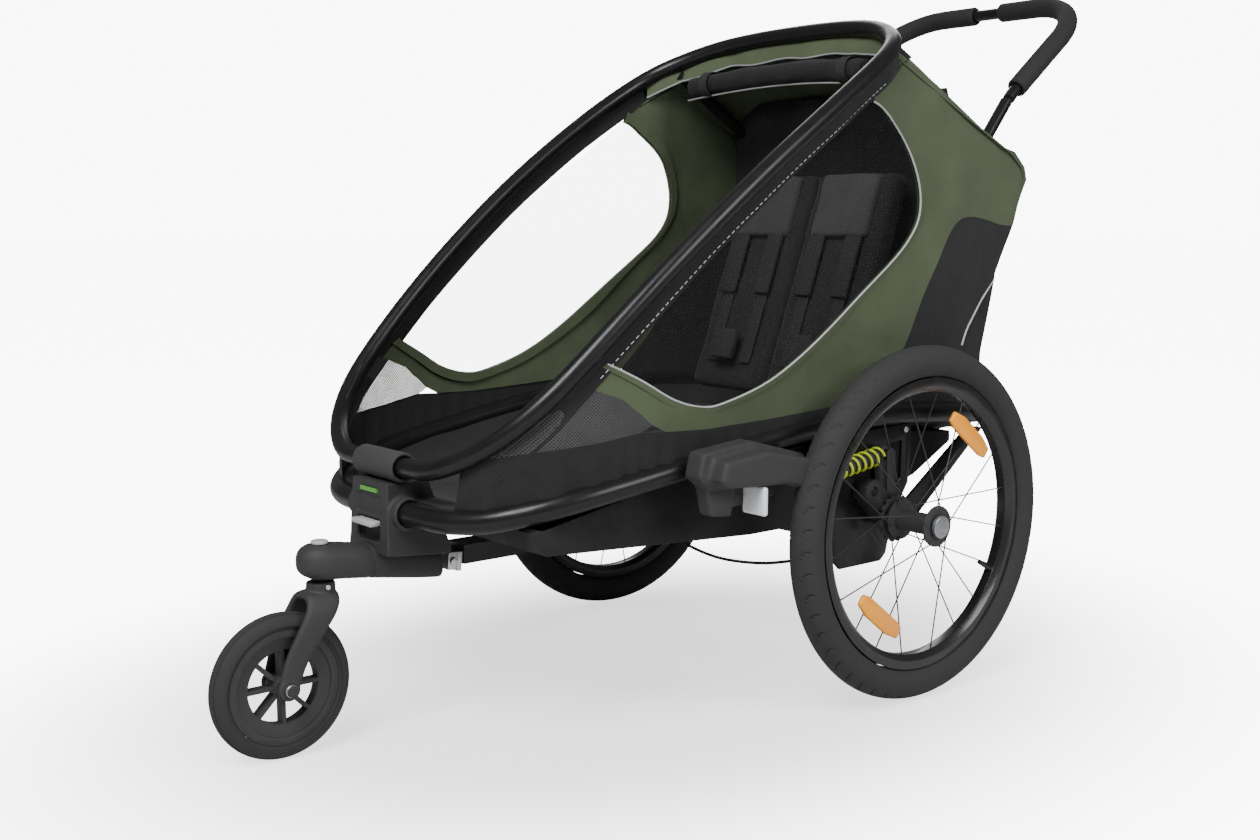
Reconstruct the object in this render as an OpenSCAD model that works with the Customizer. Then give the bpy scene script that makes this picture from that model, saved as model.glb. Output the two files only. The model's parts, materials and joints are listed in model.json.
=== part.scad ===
// Child bicycle trailer with a front swivel wheel.
// The front faces -Y, +Z is up and the ground is at Z = 0. Sizes are in millimetres.
// Inside the modules Y = 0 lies over the rear axle; placed() then centres the whole along Y.

/* [Overall] */
// Distance between the middle planes of the rear wheels
track_w = 690; // [670:1:780]
// Distance from the rear axle forward to the swivel axis of the front wheel
wheelbase = 750; // [700:1:840]
// Outside diameter of a rear tyre
wheel_d = 500; // [470:1:540]
// Height of the push bar above the rear axle
push_bar_lift = 779; // [740:1:840]
// Distance of the push bar behind the rear axle
push_bar_reach = 573; // [540:1:640]

/* [Rear wheels] */
// Width of a rear tyre
tyre_w = 46; // [40:1:50]
// Depth of a rim from its outer edge to its inner edge
rim_depth = 20; // [16:1:26]
// Number of spokes in a rear wheel
spoke_count = 20; // [16:4:24]
// Diameter of a spoke
spoke_d = 2; // [1.6:0.1:2.6]
// Diameter of the hub axle
axle_d = 12; // [9:0.5:14]
// Diameter of a spoke flange
flange_d = 58; // [50:1:64]

/* [Frame] */
// Diameter of the lower frame tube
rail_d = 32; // [28:1:35]
// Width between the centre lines of the lower frame's sides
rail_w = 540; // [520:1:550]
// Diameter of the upper hoop tube
hoop_d = 26; // [24:1:30]
// Width between the centre lines of the upper hoop's sides
hoop_w = 562; // [540:1:580]
// Distance from the swivel axis back to the hoop's pivot
connector_setback = 95; // [85:1:105]
// Diameter of the push bar tube
push_tube_d = 19; // [17:0.5:22]
// Thickness of the foam of a grip
grip_wall = 6.5; // [3:0.5:7]
// Length of bare tube between the two grips
grip_gap = 54; // [20:1:70]

/* [Front wheel] */
// Outside diameter of the front wheel
caster_d = 188; // [170:1:200]
// Width of the front wheel's tyre
caster_w = 32; // [28:1:40]
// Distance from the swivel axis to the front wheel's axle
caster_trail = 59; // [45:1:70]
// Diameter of the front wheel's axle
caster_axle_d = 8; // [6:0.5:10]
// Diameter of the swivel stem
stem_d = 16; // [12:0.5:18]

/* [Fits] */
// Radial clearance of a running fit
running_fit = 0.05; // [0.03:0.01:0.09]
// Gap left between neighbouring parts that move past each other
free_gap = 2; // [1.5:0.1:3]
// Thickness of the fabric skins
skin = 2.4; // [2:0.1:3]

/* [Hidden] */
$fn = 64;

// Axle and the heights above it
axle_z = wheel_d / 2;
wheel_x = track_w / 2;
rail_x = rail_w / 2;
hoop_x = hoop_w / 2;
caster_r = caster_d / 2;
front_y = -wheelbase + connector_setback;
push_bar_z = axle_z + push_bar_lift;
grip_r = push_tube_d / 2 + grip_wall;
front_most = -wheelbase - caster_trail - caster_r;
rear_most = push_bar_reach + grip_r;
centre_shift = -(front_most + rear_most) / 2;

// Rear wheel section
rim_r = wheel_d / 2 - tyre_w + 2;
rim_inner_r = rim_r - rim_depth;
rim_w = tyre_w * 0.6;
flange_t = 3;
inner_flange = 35;
outer_flange = 32;
cap_out = 41;
hub_r = 15;
brake_ring_r = 34;
brake_ring_in = 47;
brake_ring_t = 5;
brake_teeth = 16;

// Suspension
plate_x = rail_x - 8;
plate_t = 6;
arm_in = plate_x + plate_t + free_gap;
arm_out = wheel_x - brake_ring_in - free_gap;
pivot_y = -40;
pivot_lift = 42;
lever_y = -6;
lever_lift = 92;
spring_front_y = -112;
spring_front_lift = 76;
pivot_pin_r = 7;
eye_pin_r = 4;
spring_x = (arm_in + arm_out) / 2;
eye_t = 7;
spring_r = 14.4;
spring_wire_r = 2.2;
spring_turns = 6;
damper_r = 9;
spring_span = sqrt(pow(lever_y - spring_front_y, 2) + pow(lever_lift - spring_front_lift, 2));
spring_tilt = atan2(lever_lift - spring_front_lift, lever_y - spring_front_y);
eye_r = 11;

// Upper hoop: a chord from its foot at the pivot to its top, bowed forwards
hoop_foot_lift = 110;
hoop_top_y = 102;
hoop_top_lift = 710;
hoop_bow = 40;
hoop_run = hoop_top_y - front_y;
hoop_rise = hoop_top_lift - hoop_foot_lift;
hoop_len = sqrt(hoop_run * hoop_run + hoop_rise * hoop_rise);
hoop_tilt = atan2(hoop_rise, hoop_run);

// Push bar and the knuckles that it turns on
knuckle_y = 282;
knuckle_lift = 520;
knuckle_r = 22;
bar_x = 205;
bar_corner_r = 108;
bend_r = 90;
lower_leg = 112;
lower_slope = 50;
knuckle_z = axle_z + knuckle_lift;
bend_angle = 17;
upper_slope = lower_slope - bend_angle;
arm_plane_x = bar_x + push_tube_d / 2 + 14;
upright_x = 186;
upright_r = 11;
upright_foot_y = 205;
upright_foot_lift = 127;
upright_foot_z = axle_z + upright_foot_lift;

// Stroller arm and fork
arm_z = axle_z - 13;
arm_h = 32;
arm_tilt = 5;
arm_w = 50;
nose_r = 30;
nose_h = 42;
nose_z = axle_z - 3;
arm_rear_y = front_y + 82;
fork_w = caster_w + 2 * free_gap + 4;
fork_leg_t = 8;
fork_depth = 36;
fork_crown_z = 2 * caster_r + 16;
beam_w = 44;
beam_h = 26;
rail_rear_y = 268;
rail_rear_lift = 127;
tub_floor_lift = -6;
tub_x = 232;
tub_wall = 3;

// ---- curves -------------------------------------------------------------------------------

// Point between b and c on the smooth curve through a, b, c and d
function spline_point(a, b, c, d, t) =
    0.5 * (2 * b + (c - a) * t + (2 * a - 5 * b + 4 * c - d) * t * t + (3 * b - 3 * c + d - a) * t * t * t);

// Smooth closed curve through the points p, with n steps between neighbours
function closed_curve(p, n) =
    let (m = len(p))
    [for (i = [0 : m - 1]) for (k = [0 : n - 1])
        spline_point(p[(i + m - 1) % m], p[i], p[(i + 1) % m], p[(i + 2) % m], k / n)];

// Point at t, from 0 to 1, on the smooth open curve through the points p
function curve_at(p, t) =
    let (m = len(p) - 1, s = min(t * m, m - 0.0001), i = floor(s), f = s - i)
    spline_point(p[max(i - 1, 0)], p[i], p[i + 1], p[min(i + 2, m)], f);

function open_curve(p, n) = [for (i = [0 : n]) curve_at(p, i / n)];
function mirrored(p) = [for (q = p) [-q[0], q[1], q[2]]];
function reversed(p) = [for (i = [len(p) - 1 : -1 : 0]) p[i]];
function without_ends(p) = [for (i = [1 : len(p) - 2]) p[i]];
function unit(v) = v / norm(v);

// Both halves of a ring whose right half is p, from its middle bottom to its middle top
function whole_ring(p) = concat(p, mirrored(reversed(without_ends(p))));

// Ring of points round a path at its point i; up is the direction that the rings keep to
function ring_at(path, i, r, up, sides, closed) =
    let (m = len(path),
        before = closed ? path[(i + m - 1) % m] : path[max(i - 1, 0)],
        after = closed ? path[(i + 1) % m] : path[min(i + 1, m - 1)],
        along = unit(after - before),
        side = unit(cross(along, up)),
        top = cross(side, along))
    [for (k = [0 : sides - 1]) path[i] + r * (cos(360 * k / sides) * side + sin(360 * k / sides) * top)];

// Tube of radius r along a path
module tube_along(path, r, up = [0, 0, 1], sides = 16, closed = false) {
    m = len(path);
    spans = closed ? m : m - 1;
    points = [for (i = [0 : m - 1]) each ring_at(path, i, r, up, sides, closed)];
    walls = [for (i = [0 : spans - 1]) for (k = [0 : sides - 1])
        let (j = (i + 1) % m, l = (k + 1) % sides)
        [i * sides + k, i * sides + l, j * sides + l, j * sides + k]];
    caps = closed ? [] : [[for (k = [sides - 1 : -1 : 0]) k], [for (k = [0 : sides - 1]) (m - 1) * sides + k]];
    polyhedron(points, concat(walls, caps), convexity = 8);
}

// Closed sheet over a grid of points, made thick by a shift to its inner face
module sheet(grid, shift) {
    rows = len(grid);
    columns = len(grid[0]);
    size = rows * columns;
    function at(i, j, inner) = inner * size + i * columns + j;
    outer_face = [for (i = [0 : rows - 2]) for (j = [0 : columns - 2])
        each [[at(i, j, 0), at(i + 1, j, 0), at(i + 1, j + 1, 0)], [at(i, j, 0), at(i + 1, j + 1, 0), at(i, j + 1, 0)]]];
    inner_face = [for (i = [0 : rows - 2]) for (j = [0 : columns - 2])
        each [[at(i, j, 1), at(i + 1, j + 1, 1), at(i + 1, j, 1)], [at(i, j, 1), at(i, j + 1, 1), at(i + 1, j + 1, 1)]]];
    rim_points = concat([for (j = [0 : columns - 2]) [0, j]], [for (i = [0 : rows - 2]) [i, columns - 1]],
        [for (j = [columns - 1 : -1 : 1]) [rows - 1, j]], [for (i = [rows - 1 : -1 : 1]) [i, 0]]);
    count = len(rim_points);
    edges = [for (e = [0 : count - 1])
        let (a = rim_points[e], b = rim_points[(e + 1) % count])
        each [[at(a[0], a[1], 0), at(b[0], b[1], 0), at(b[0], b[1], 1)],
            [at(a[0], a[1], 0), at(b[0], b[1], 1), at(a[0], a[1], 1)]]];
    outer_points = [for (row = grid) each row];
    polyhedron(concat(outer_points, [for (p = outer_points) p + shift]),
        concat(outer_face, inner_face, edges), convexity = 8);
}

// Straight round rod from point a to point b
module rod(a, b, r) {
    d = b - a;
    translate(a) rotate([0, acos(d[2] / norm(d)), atan2(d[1], d[0])]) cylinder(r = r, h = norm(d));
}

// Round rod along X from x1 to x2
module cross_rod(x1, x2, y, lift, r) {
    translate([min(x1, x2), y, axle_z + lift]) rotate([0, 90, 0]) cylinder(r = r, h = abs(x2 - x1));
}

// Plate in the YZ plane from x1, t thick, over an outline of [y, lift] points
module side_plate(x1, t, outline) {
    translate([x1, 0, axle_z]) rotate([90, 0, 90]) linear_extrude(t) polygon(outline);
}

module on_side(side) {
    if (side > 0) children();
    else mirror([1, 0, 0]) children();
}

module placed() {
    translate([0, centre_shift, 0]) children();
}

// ---- frame --------------------------------------------------------------------------------

// Right half of the lower frame's centre line, from the front middle to the rear middle
rail_half = [[0, front_y, 52], [60, front_y, 52], [120, front_y + 6, 52], [rail_x - 92, front_y + 34, 56],
    [rail_x - 46, front_y + 86, 70], [rail_x - 18, front_y + 165, 88], [rail_x - 5, front_y + 270, 106],
    [rail_x, -235, 130], [rail_x, -100, 141], [rail_x, 20, 146], [rail_x - 2, 150, 138],
    [rail_x - 12, 226, 129], [rail_x - 40, rail_rear_y - 4, rail_rear_lift],
    [rail_x - 90, rail_rear_y, rail_rear_lift], [0, rail_rear_y, rail_rear_lift]];
rail_path = [for (p = closed_curve(whole_ring(rail_half), 3)) p + [0, 0, axle_z]];

// Point of the hoop at a distance along its chord, x across and off behind the tube's centre line
function hoop_point(along, x, off = 0) =
    let (bow = hoop_bow * sin(180 * along / hoop_len) - off)
    [x, front_y + along * cos(hoop_tilt) - bow * sin(hoop_tilt),
        axle_z + hoop_foot_lift + along * sin(hoop_tilt) + bow * cos(hoop_tilt)];

// Right half of the hoop as [distance along the chord, half width], from foot to top
hoop_half = [[0, 0], [1, 60], [8, 120], [58, hoop_x - 92], [150, hoop_x - 45], [0.34 * hoop_len, hoop_x - 19],
    [0.55 * hoop_len, hoop_x - 4], [0.74 * hoop_len, hoop_x], [hoop_len - 121, hoop_x - 13],
    [hoop_len - 56, hoop_x - 56], [hoop_len - 12, hoop_x - 140], [hoop_len, 0]];
hoop_path = closed_curve(whole_ring([for (p = hoop_half) hoop_point(p[0], p[1])]), 3);
hoop_up = [0, -sin(hoop_tilt), cos(hoop_tilt)];

module lower_frame() {
    color("#26272a") tube_along(rail_path, rail_d / 2, closed = true);
}

module upper_hoop() {
    color("#26272a") tube_along(hoop_path, hoop_d / 2, up = hoop_up, closed = true);
}

sleeve_wall = 5;
sleeve_gap = 1.5;
sleeve_r = hoop_d / 2 + sleeve_gap + sleeve_wall;

// Rubber sleeve that the hoop's foot turns in
module hoop_sleeve() {
    half = 50;
    color("#2b2c2e") difference() {
        cross_rod(-half, half, front_y, hoop_foot_lift, sleeve_r);
        cross_rod(-half - 1, half + 1, front_y, hoop_foot_lift, sleeve_r - sleeve_wall);
    }
}

connector_top_lift = hoop_foot_lift - sleeve_r - 0.4;
connector_front_y = front_y - 27;

marker_w = 42;
marker_h = 5;
marker_lift = 76;
marker_seat = 8;

// Front block that holds the lower frame, the hoop's sleeve and the stroller arm
module front_connector() {
    rail_gap = rail_d / 2 + 0.6;
    recess_w = 64;
    slot_w = 56;
    color("#222326") difference() {
        union() {
            hull() {
                translate([-44, connector_front_y + 5, axle_z + connector_top_lift - 4]) cube([88, 62, 4]);
                along_arm() translate([-50, connector_front_y - kingpin_y, arm_h / 2 + 0.4]) cube([100, 95, 8]);
            }
            side_arms();
        }
        cross_rod(-120, 120, front_y, 52, rail_gap);
        translate([-recess_w / 2, connector_front_y - 1, axle_z + 46]) cube([recess_w, 8, 26]);
        translate([-slot_w / 2, connector_front_y - 1, axle_z + 12]) cube([slot_w, 11, 30]);
        translate([-marker_w / 2 - 0.3, connector_front_y - 1, axle_z + marker_lift - 0.3])
            cube([marker_w + 0.6, marker_seat + 1, marker_h + 0.6]);
    }
}

// Short ears that clasp the lower frame on each side of the block
module side_arms() {
    cross_rod(-62, 62, front_y, 52, rail_d / 2 + 5);
}

module connector_marker() {
    color("#4fc51c") translate([-marker_w / 2, connector_front_y + 3, axle_z + marker_lift])
        cube([marker_w, marker_seat - 3, marker_h]);
}

// Push tab in the slot of the block; it slides down to free the arm
module release_button() {
    color("#a9abad") translate([-25, connector_front_y - 9, axle_z + 33]) cube([50, 18, 7]);
}

// Tube with its knuckle, from the hoop's upper corner down to the push bar's pivot
module hoop_rear_arm(side) {
    start = hoop_point(hoop_len - 72, arm_plane_x, 15);
    knuckle = [arm_plane_x, knuckle_y, knuckle_z];
    reach = unit(knuckle - start);
    color("#242528") on_side(side) difference() {
        union() {
            rod(start, knuckle - reach * (knuckle_r - 4), 9);
            cross_rod(arm_plane_x - 10, arm_plane_x + 10, knuckle_y, knuckle_lift, knuckle_r);
        }
        cross_rod(arm_plane_x - 11, arm_plane_x + 11, knuckle_y, knuckle_lift, 9);
        tube_along(hoop_path, hoop_d / 2, up = hoop_up, closed = true);
    }
}

// Uprights behind the seat, with their cross tubes and feet
module back_frame() {
    head = [upright_x, knuckle_y - 34, knuckle_z - 52];
    foot = [upright_x, upright_foot_y, upright_foot_z];
    color("#28292c") difference() {
        union() {
            for (side = [-1, 1]) on_side(side) {
                rod(foot + [0, 0, 10], head, upright_r);
                cross_rod(upright_x - 12, upright_x + 12, upright_foot_y, upright_foot_lift, 14);
            }
            cross_rod(-upright_x, upright_x, knuckle_y - 39, knuckle_lift - 74, 7);
            cross_rod(-upright_x, upright_x, upright_foot_y + 9, upright_foot_lift + 80, 8);
        }
        for (side = [-1, 1]) on_side(side)
            cross_rod(upright_x - 13, upright_x + 13, upright_foot_y, upright_foot_lift, 5 + running_fit);
    }
}

// Cradle brackets on the rear of the lower frame, with the pins that the uprights turn on
module rear_bracket(side) {
    color("#202124") on_side(side) {
        difference() {
            side_plate(upright_x + 14, 8, [[upright_foot_y - 20, upright_foot_lift - 20], [rail_rear_y - 20, 98],
                [rail_rear_y + 20, 100], [rail_rear_y + 20, 152], [upright_foot_y - 20, upright_foot_lift + 20]]);
            cross_rod(upright_x + 13, upright_x + 23, rail_rear_y, rail_rear_lift, rail_d / 2 + 0.3);
        }
        cross_rod(upright_x - 14, upright_x + 14.5, upright_foot_y, upright_foot_lift, 5);
        side_plate(plate_x, plate_t, [[205, 111], [238, 106], [86, -14], [60, 12]]);
    }
}

// ---- push bar -----------------------------------------------------------------------------

// Bend of a tube that starts along +Y and turns towards +Z
module elbow(bend, r, angle) {
    translate([0, 0, bend]) rotate([0, 90, 0]) rotate_extrude(angle = angle) translate([bend, 0]) circle(r);
}

// Half of the push bar from the middle: x runs out along the bar, then +Y down the leg
module bar_half(r, from_x, leg) {
    translate([from_x, 0, 0]) rotate([0, 90, 0]) cylinder(r = r, h = bar_x - bar_corner_r - from_x);
    translate([bar_x - bar_corner_r, bar_corner_r, 0]) rotate([0, 0, -90])
        rotate_extrude(angle = 90) translate([bar_corner_r, 0]) circle(r);
    translate([bar_x, bar_corner_r, 0]) rotate([-90, 0, 0]) cylinder(r = r, h = leg - bar_corner_r);
}

// Where the leg starts to bend, worked out from the knuckle and the bar
bend_y = knuckle_y + lower_leg * cos(lower_slope) + bend_r * (sin(lower_slope) - sin(upper_slope));
bend_lift = knuckle_lift + lower_leg * sin(lower_slope) - bend_r * (cos(lower_slope) - cos(upper_slope));
leg_slope = atan2(push_bar_lift - bend_lift, push_bar_reach - bend_y);
leg_len = sqrt(pow(push_bar_lift - bend_lift, 2) + pow(push_bar_reach - bend_y, 2));
leg_bend = lower_slope - leg_slope;

module in_bar_plane() {
    translate([0, push_bar_reach, push_bar_z]) rotate([180 + leg_slope, 0, 0]) children();
}

module push_bar() {
    stub = bar_x - 4;
    color("#1f2023") {
        for (side = [-1, 1]) on_side(side) {
            in_bar_plane() {
                bar_half(push_tube_d / 2, 0, leg_len);
                translate([bar_x, leg_len, 0]) elbow(bend_r, push_tube_d / 2, leg_bend);
            }
            rod([bar_x, knuckle_y, knuckle_z], [bar_x, knuckle_y + lower_leg * cos(lower_slope),
                knuckle_z + lower_leg * sin(lower_slope)], push_tube_d / 2);
            cross_rod(stub, arm_plane_x - 10 - 0.4, knuckle_y, knuckle_lift, 14);
            cross_rod(stub, arm_plane_x + 10, knuckle_y, knuckle_lift, 9 - running_fit);
        }
    }
}

module grip(side) {
    leg = leg_len - 6;
    color("#18191a") on_side(side) in_bar_plane() difference() {
        bar_half(grip_r, grip_gap / 2, leg);
        bar_half(push_tube_d / 2 + 0.05, grip_gap / 2 - 1, leg + 1);
    }
}

module bar_button(side) {
    color("#3a3b3d") on_side(side)
        cross_rod(arm_plane_x + 14, arm_plane_x + 20, knuckle_y, knuckle_lift, 13);
}

// ---- underframe ---------------------------------------------------------------------------

beam_lift = tub_floor_lift - tub_wall - beam_h / 2 - 1;

module centre_beam() {
    color("#1d1e20") difference() {
        translate([-beam_w / 2, arm_rear_y + 24, axle_z + beam_lift - beam_h / 2])
            cube([beam_w, -40 - arm_rear_y - 24, beam_h]);
        cross_rod(-beam_w, beam_w, pivot_y, beam_lift, 14);
    }
}

module rear_axle_beam() {
    color("#232427") cross_rod(-plate_x, plate_x, pivot_y, beam_lift, 13.6);
}

// Plate that carries the swing arm, with the pins of its pivot and of the spring
module suspension_plate(side) {
    color("#242528") on_side(side) {
        difference() {
            side_plate(plate_x, plate_t, [[-128, 121], [70, 128], [66, 40], [34, -6], [20, -60], [8, -70],
                [-78, -70], [-92, -56], [-96, 20], [-128, 70]]);
            side_plate(plate_x - 1, plate_t + 2, [[18, 102], [50, 104], [48, 48], [24, 30]]);
        }
        cross_rod(plate_x + plate_t - 0.1, arm_out, pivot_y, pivot_lift, pivot_pin_r);
        cross_rod(plate_x + plate_t - 0.1, spring_x + eye_t / 2 + 3, spring_front_y, spring_front_lift, eye_pin_r);
    }
}

// Bell crank: the axle at its lower end, the spring at its upper end
module swing_arm(side) {
    color("#2a2b2e") on_side(side) difference() {
        union() {
            hull() {
                cross_rod(arm_in, arm_out, pivot_y, pivot_lift, 17);
                cross_rod(arm_in, arm_out, 0, 0, 15);
            }
            lever_fork();
            cross_rod(arm_in, wheel_x + outer_flange - 2, 0, 0, axle_d / 2);
        }
        cross_rod(arm_in - 1, arm_out + 1, pivot_y, pivot_lift, pivot_pin_r + running_fit);
    }
}

// Two cheeks of the lever, with the pin that holds the spring's rear eye
module lever_fork() {
    cheek = 3;
    for (x = [arm_in, arm_out - cheek]) hull() {
        cross_rod(x, x + cheek, lever_y, lever_lift, 9);
        cross_rod(x, x + cheek, -4, 20, 9);
    }
    cross_rod(arm_in, arm_out, lever_y, lever_lift, eye_pin_r);
}

module along_spring() {
    translate([spring_x, spring_front_y, axle_z + spring_front_lift]) rotate([-90 + spring_tilt, 0, 0]) children();
}

// Damper between the two spring pins: an eye at each end and a rod between
module damper(side) {
    color("#1b1c1e") on_side(side) difference() {
        along_spring() union() {
            for (z = [0, spring_span]) translate([-eye_t / 2, 0, z]) rotate([0, 90, 0]) cylinder(r = eye_r, h = eye_t);
            translate([0, 0, eye_r - 3]) cylinder(r = damper_r, h = spring_span - 2 * eye_r + 6);
        }
        for (end = [[spring_front_y, spring_front_lift], [lever_y, lever_lift]])
            cross_rod(spring_x - eye_t, spring_x + eye_t, end[0], end[1], eye_pin_r + running_fit);
    }
}

module suspension_spring(side) {
    coil_len = spring_span - 2 * eye_r - 2 * spring_wire_r;
    steps = spring_turns * 14;
    coil = [for (i = [0 : steps]) let (a = 360 * spring_turns * i / steps)
        [(spring_r - spring_wire_r) * cos(a), (spring_r - spring_wire_r) * sin(a), coil_len * i / steps]];
    color("#d4e320") on_side(side) along_spring() translate([0, 0, eye_r + spring_wire_r])
        tube_along(coil, spring_wire_r, sides = 8);
}

guard_top = 118;

// Moulded guard in front of a rear wheel
module wheel_guard(side) {
    inner = rail_x + rail_d / 2 + 1;
    outer = wheel_x + 2;
    color("#202123") on_side(side) difference() {
        hull() {
            translate([inner, -362, axle_z + guard_top - 22]) cube([10, 118, 20]);
            translate([outer - 30, -300, axle_z + guard_top - 8]) cylinder(r = 14, h = 8);
            translate([outer - 14, -264, axle_z + guard_top - 22]) cylinder(r = 14, h = 20);
            translate([inner, -352, axle_z + guard_top - 78]) cube([12, 30, 10]);
        }
        translate([inner + 14, -400, axle_z]) cube([outer, 122, guard_top - 34]);
    }
}

module front_reflector(side) {
    color("#dfe3e6") on_side(side)
        translate([rail_x + rail_d / 2 + 18, -306, axle_z + guard_top - 71]) cube([34, 9, 36.6]);
}

module rear_reflectors() {
    color("#b3161b") for (side = [-1, 1]) on_side(side)
        translate([upright_x - 30, rail_rear_y + rail_d / 2 + 0.2, axle_z + rail_rear_lift - 12]) cube([36, 8, 24]);
}

// ---- rear wheels --------------------------------------------------------------------------

module wheel_turned(side) {
    on_side(side) translate([wheel_x, 0, axle_z]) rotate([0, 90, 0]) children();
}

module tyre(side) {
    color("#1c1c1e") wheel_turned(side) rotate_extrude($fn = 128) difference() {
        translate([axle_z - tyre_w / 2, 0]) circle(tyre_w / 2);
        translate([rim_inner_r, -tyre_w]) square([rim_r - rim_inner_r + 0.3, 2 * tyre_w]);
    }
}

module rim(side) {
    color("#161617") wheel_turned(side) rotate_extrude($fn = 128) polygon([
        [rim_inner_r, -rim_w / 4], [rim_inner_r + 8, -rim_w / 2], [rim_r, -rim_w / 2], [rim_r, -rim_w / 2 + 2],
        [rim_inner_r + 10, -rim_w / 2 + 4], [rim_inner_r + 10, rim_w / 2 - 4], [rim_r, rim_w / 2 - 2],
        [rim_r, rim_w / 2], [rim_inner_r + 8, rim_w / 2], [rim_inner_r, rim_w / 4]]);
    valve_angle = -29;
    color("#161617") on_side(side) translate([wheel_x, 0, axle_z]) rotate([valve_angle, 0, 0])
        translate([0, rim_inner_r - 28, 0]) rotate([-90, 0, 0]) cylinder(r = 3.5, h = 29);
}

// Spokes laced from alternate flanges to the rim
module spokes(side) {
    lacing = 38;
    anchor_r = flange_d / 2 - 5;
    color("#2a2a2b") wheel_turned(side) for (i = [0 : spoke_count - 1]) {
        rim_angle = 360 * (i + 0.5) / spoke_count;
        flange_angle = rim_angle + (i % 4 < 2 ? lacing : -lacing);
        beside = (i % 4 < 2 ? 1 : -1) * (flange_t + spoke_d) / 2;
        height = (i % 2 == 0 ? outer_flange - flange_t / 2 : -inner_flange + flange_t / 2) + beside;
        rod([anchor_r * cos(flange_angle), anchor_r * sin(flange_angle), height],
            [(rim_inner_r + 1) * cos(rim_angle), (rim_inner_r + 1) * sin(rim_angle), beside * 0.8], spoke_d / 2);
    }
}

// Hub shell with two flanges and the toothed ring of the parking brake
module hub(side) {
    color("#17181a") wheel_turned(side) difference() {
        union() {
            translate([0, 0, -brake_ring_in]) cylinder(r = hub_r, h = brake_ring_in + outer_flange);
            translate([0, 0, -inner_flange]) cylinder(r = flange_d / 2, h = flange_t);
            translate([0, 0, outer_flange - flange_t]) cylinder(r = flange_d / 2, h = flange_t);
            translate([0, 0, -brake_ring_in]) cylinder(r = brake_ring_r, h = brake_ring_t);
        }
        translate([0, 0, -brake_ring_in - 1]) cylinder(r = axle_d / 2 + running_fit, h = 2 * brake_ring_in);
        for (i = [0 : brake_teeth - 1]) rotate([0, 0, 360 * i / brake_teeth])
            translate([brake_ring_r, 0, -brake_ring_in - 1]) cylinder(r = 3.5, h = brake_ring_t + 2);
    }
}

// Quick-release button in the middle of a hub
module hub_button(side) {
    color("#8d9194") wheel_turned(side)
        translate([0, 0, outer_flange + 3.4]) cylinder(r = hub_r + 1, h = cap_out - outer_flange - 3.4);
}

// Reflectors clipped across the spokes, opposite each other
module wheel_reflectors(side) {
    length = 100;
    height = 26;
    centre_r = 150;
    color("#ff9a12") on_side(side) translate([wheel_x, 0, axle_z]) for (angle = [52, 232])
        rotate([angle, 0, 0]) translate([7, centre_r, 0]) reflector_plate(length, height, 6);
}

module reflector_plate(length, height, t) {
    rotate([90, 0, 90]) linear_extrude(t) polygon([
        [-height / 2 + 4, -length / 2], [height / 2 - 6, -length / 2], [height / 2, -length / 2 + 24],
        [height / 2, length / 2 - 24], [height / 2 - 6, length / 2], [-height / 2 + 4, length / 2],
        [-height / 2, length / 2 - 14], [-height / 2, -length / 2 + 14]]);
}

// ---- brake --------------------------------------------------------------------------------

pedal_x = 120;
pedal_y = pivot_y + 14 + 12;

// Foot pedal of the parking brake, on a collar behind the axle beam
module brake_pedal() {
    color("#303134") difference() {
        union() {
            cross_rod(pedal_x - 24, pedal_x + 24, pivot_y, beam_lift, 19);
            translate([pedal_x - 18, pivot_y + 12, axle_z + beam_lift - 4]) cube([36, 66, 8]);
            translate([pedal_x - 34, pivot_y + 70, axle_z + beam_lift - 6]) cube([68, 34, 12]);
        }
        cross_rod(pedal_x - 25, pedal_x + 25, pivot_y, beam_lift, 13.6 + running_fit);
    }
}

// Cable of the brake: out of the tub, in a shallow loop under it and up to the right plate
cable_route = [[30, -205, -20], [34, -203, -32], [60, -188, -52], [105, -160, -70], [155, -125, -74],
    [200, -98, -66], [236, -84, -58], [plate_x - 1, -78, -55]];
cable_r = 2.6;

module brake_cable() {
    color("#101011") tube_along([for (p = open_curve(cable_route, 56)) p + [0, 0, axle_z]], cable_r, up = [0, 1, 0.3],
        sides = 8);
}

// ---- stroller arm and front wheel ---------------------------------------------------------

kingpin_y = -wheelbase;
arm_len = arm_rear_y - kingpin_y;

// Frame of the arm: Y runs back along it from the swivel axis, falling by arm_tilt
module along_arm() {
    translate([0, kingpin_y, arm_z]) rotate([-arm_tilt, 0, 0]) children();
}

module stroller_arm() {
    seam = 64;
    color("#232426") difference() {
        union() {
            translate([0, kingpin_y, nose_z - nose_h / 2]) cylinder(r = nose_r, h = nose_h - 14);
            translate([0, kingpin_y, nose_z + nose_h / 2 - 14]) cylinder(r1 = nose_r, r2 = nose_r - 9, h = 14);
            along_arm() {
                translate([-arm_w / 2, 24, -arm_h / 2]) cube([arm_w, seam - 24, arm_h]);
                translate([-arm_w / 2 + 2, seam, -arm_h / 2 + 1]) cube([arm_w - 4, arm_len - seam, arm_h - 2]);
            }
        }
        translate([0, kingpin_y, nose_z - nose_h / 2 - 1]) cylinder(r = stem_d / 2 + running_fit, h = nose_h - 13);
        translate([0, kingpin_y, nose_z + nose_h / 2 - 6]) cylinder(r = 11.6, h = 7);
    }
}

module swivel_lock_button() {
    color("#b9bcbe") translate([0, kingpin_y, nose_z + nose_h / 2 - 1]) cylinder(r = 11, h = 4.5);
}

// Bright clamp and bolt at the arm's rear end, and the dark end piece behind them
module arm_bracket() {
    color("#c4c7ca") {
        along_arm() {
            translate([-22, arm_len + 0.3, -12]) cube([44, 14, 24]);
            translate([21, arm_len + 7, 0]) rotate([0, 90, 0]) cylinder(r = 5, h = 6);
        }
    }
    color("#1d1e20") along_arm() translate([-beam_w / 2, arm_len + 14.6, -14]) cube([beam_w, 7, 26]);
}

fork_top = nose_z - nose_h / 2 - free_gap;

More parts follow.
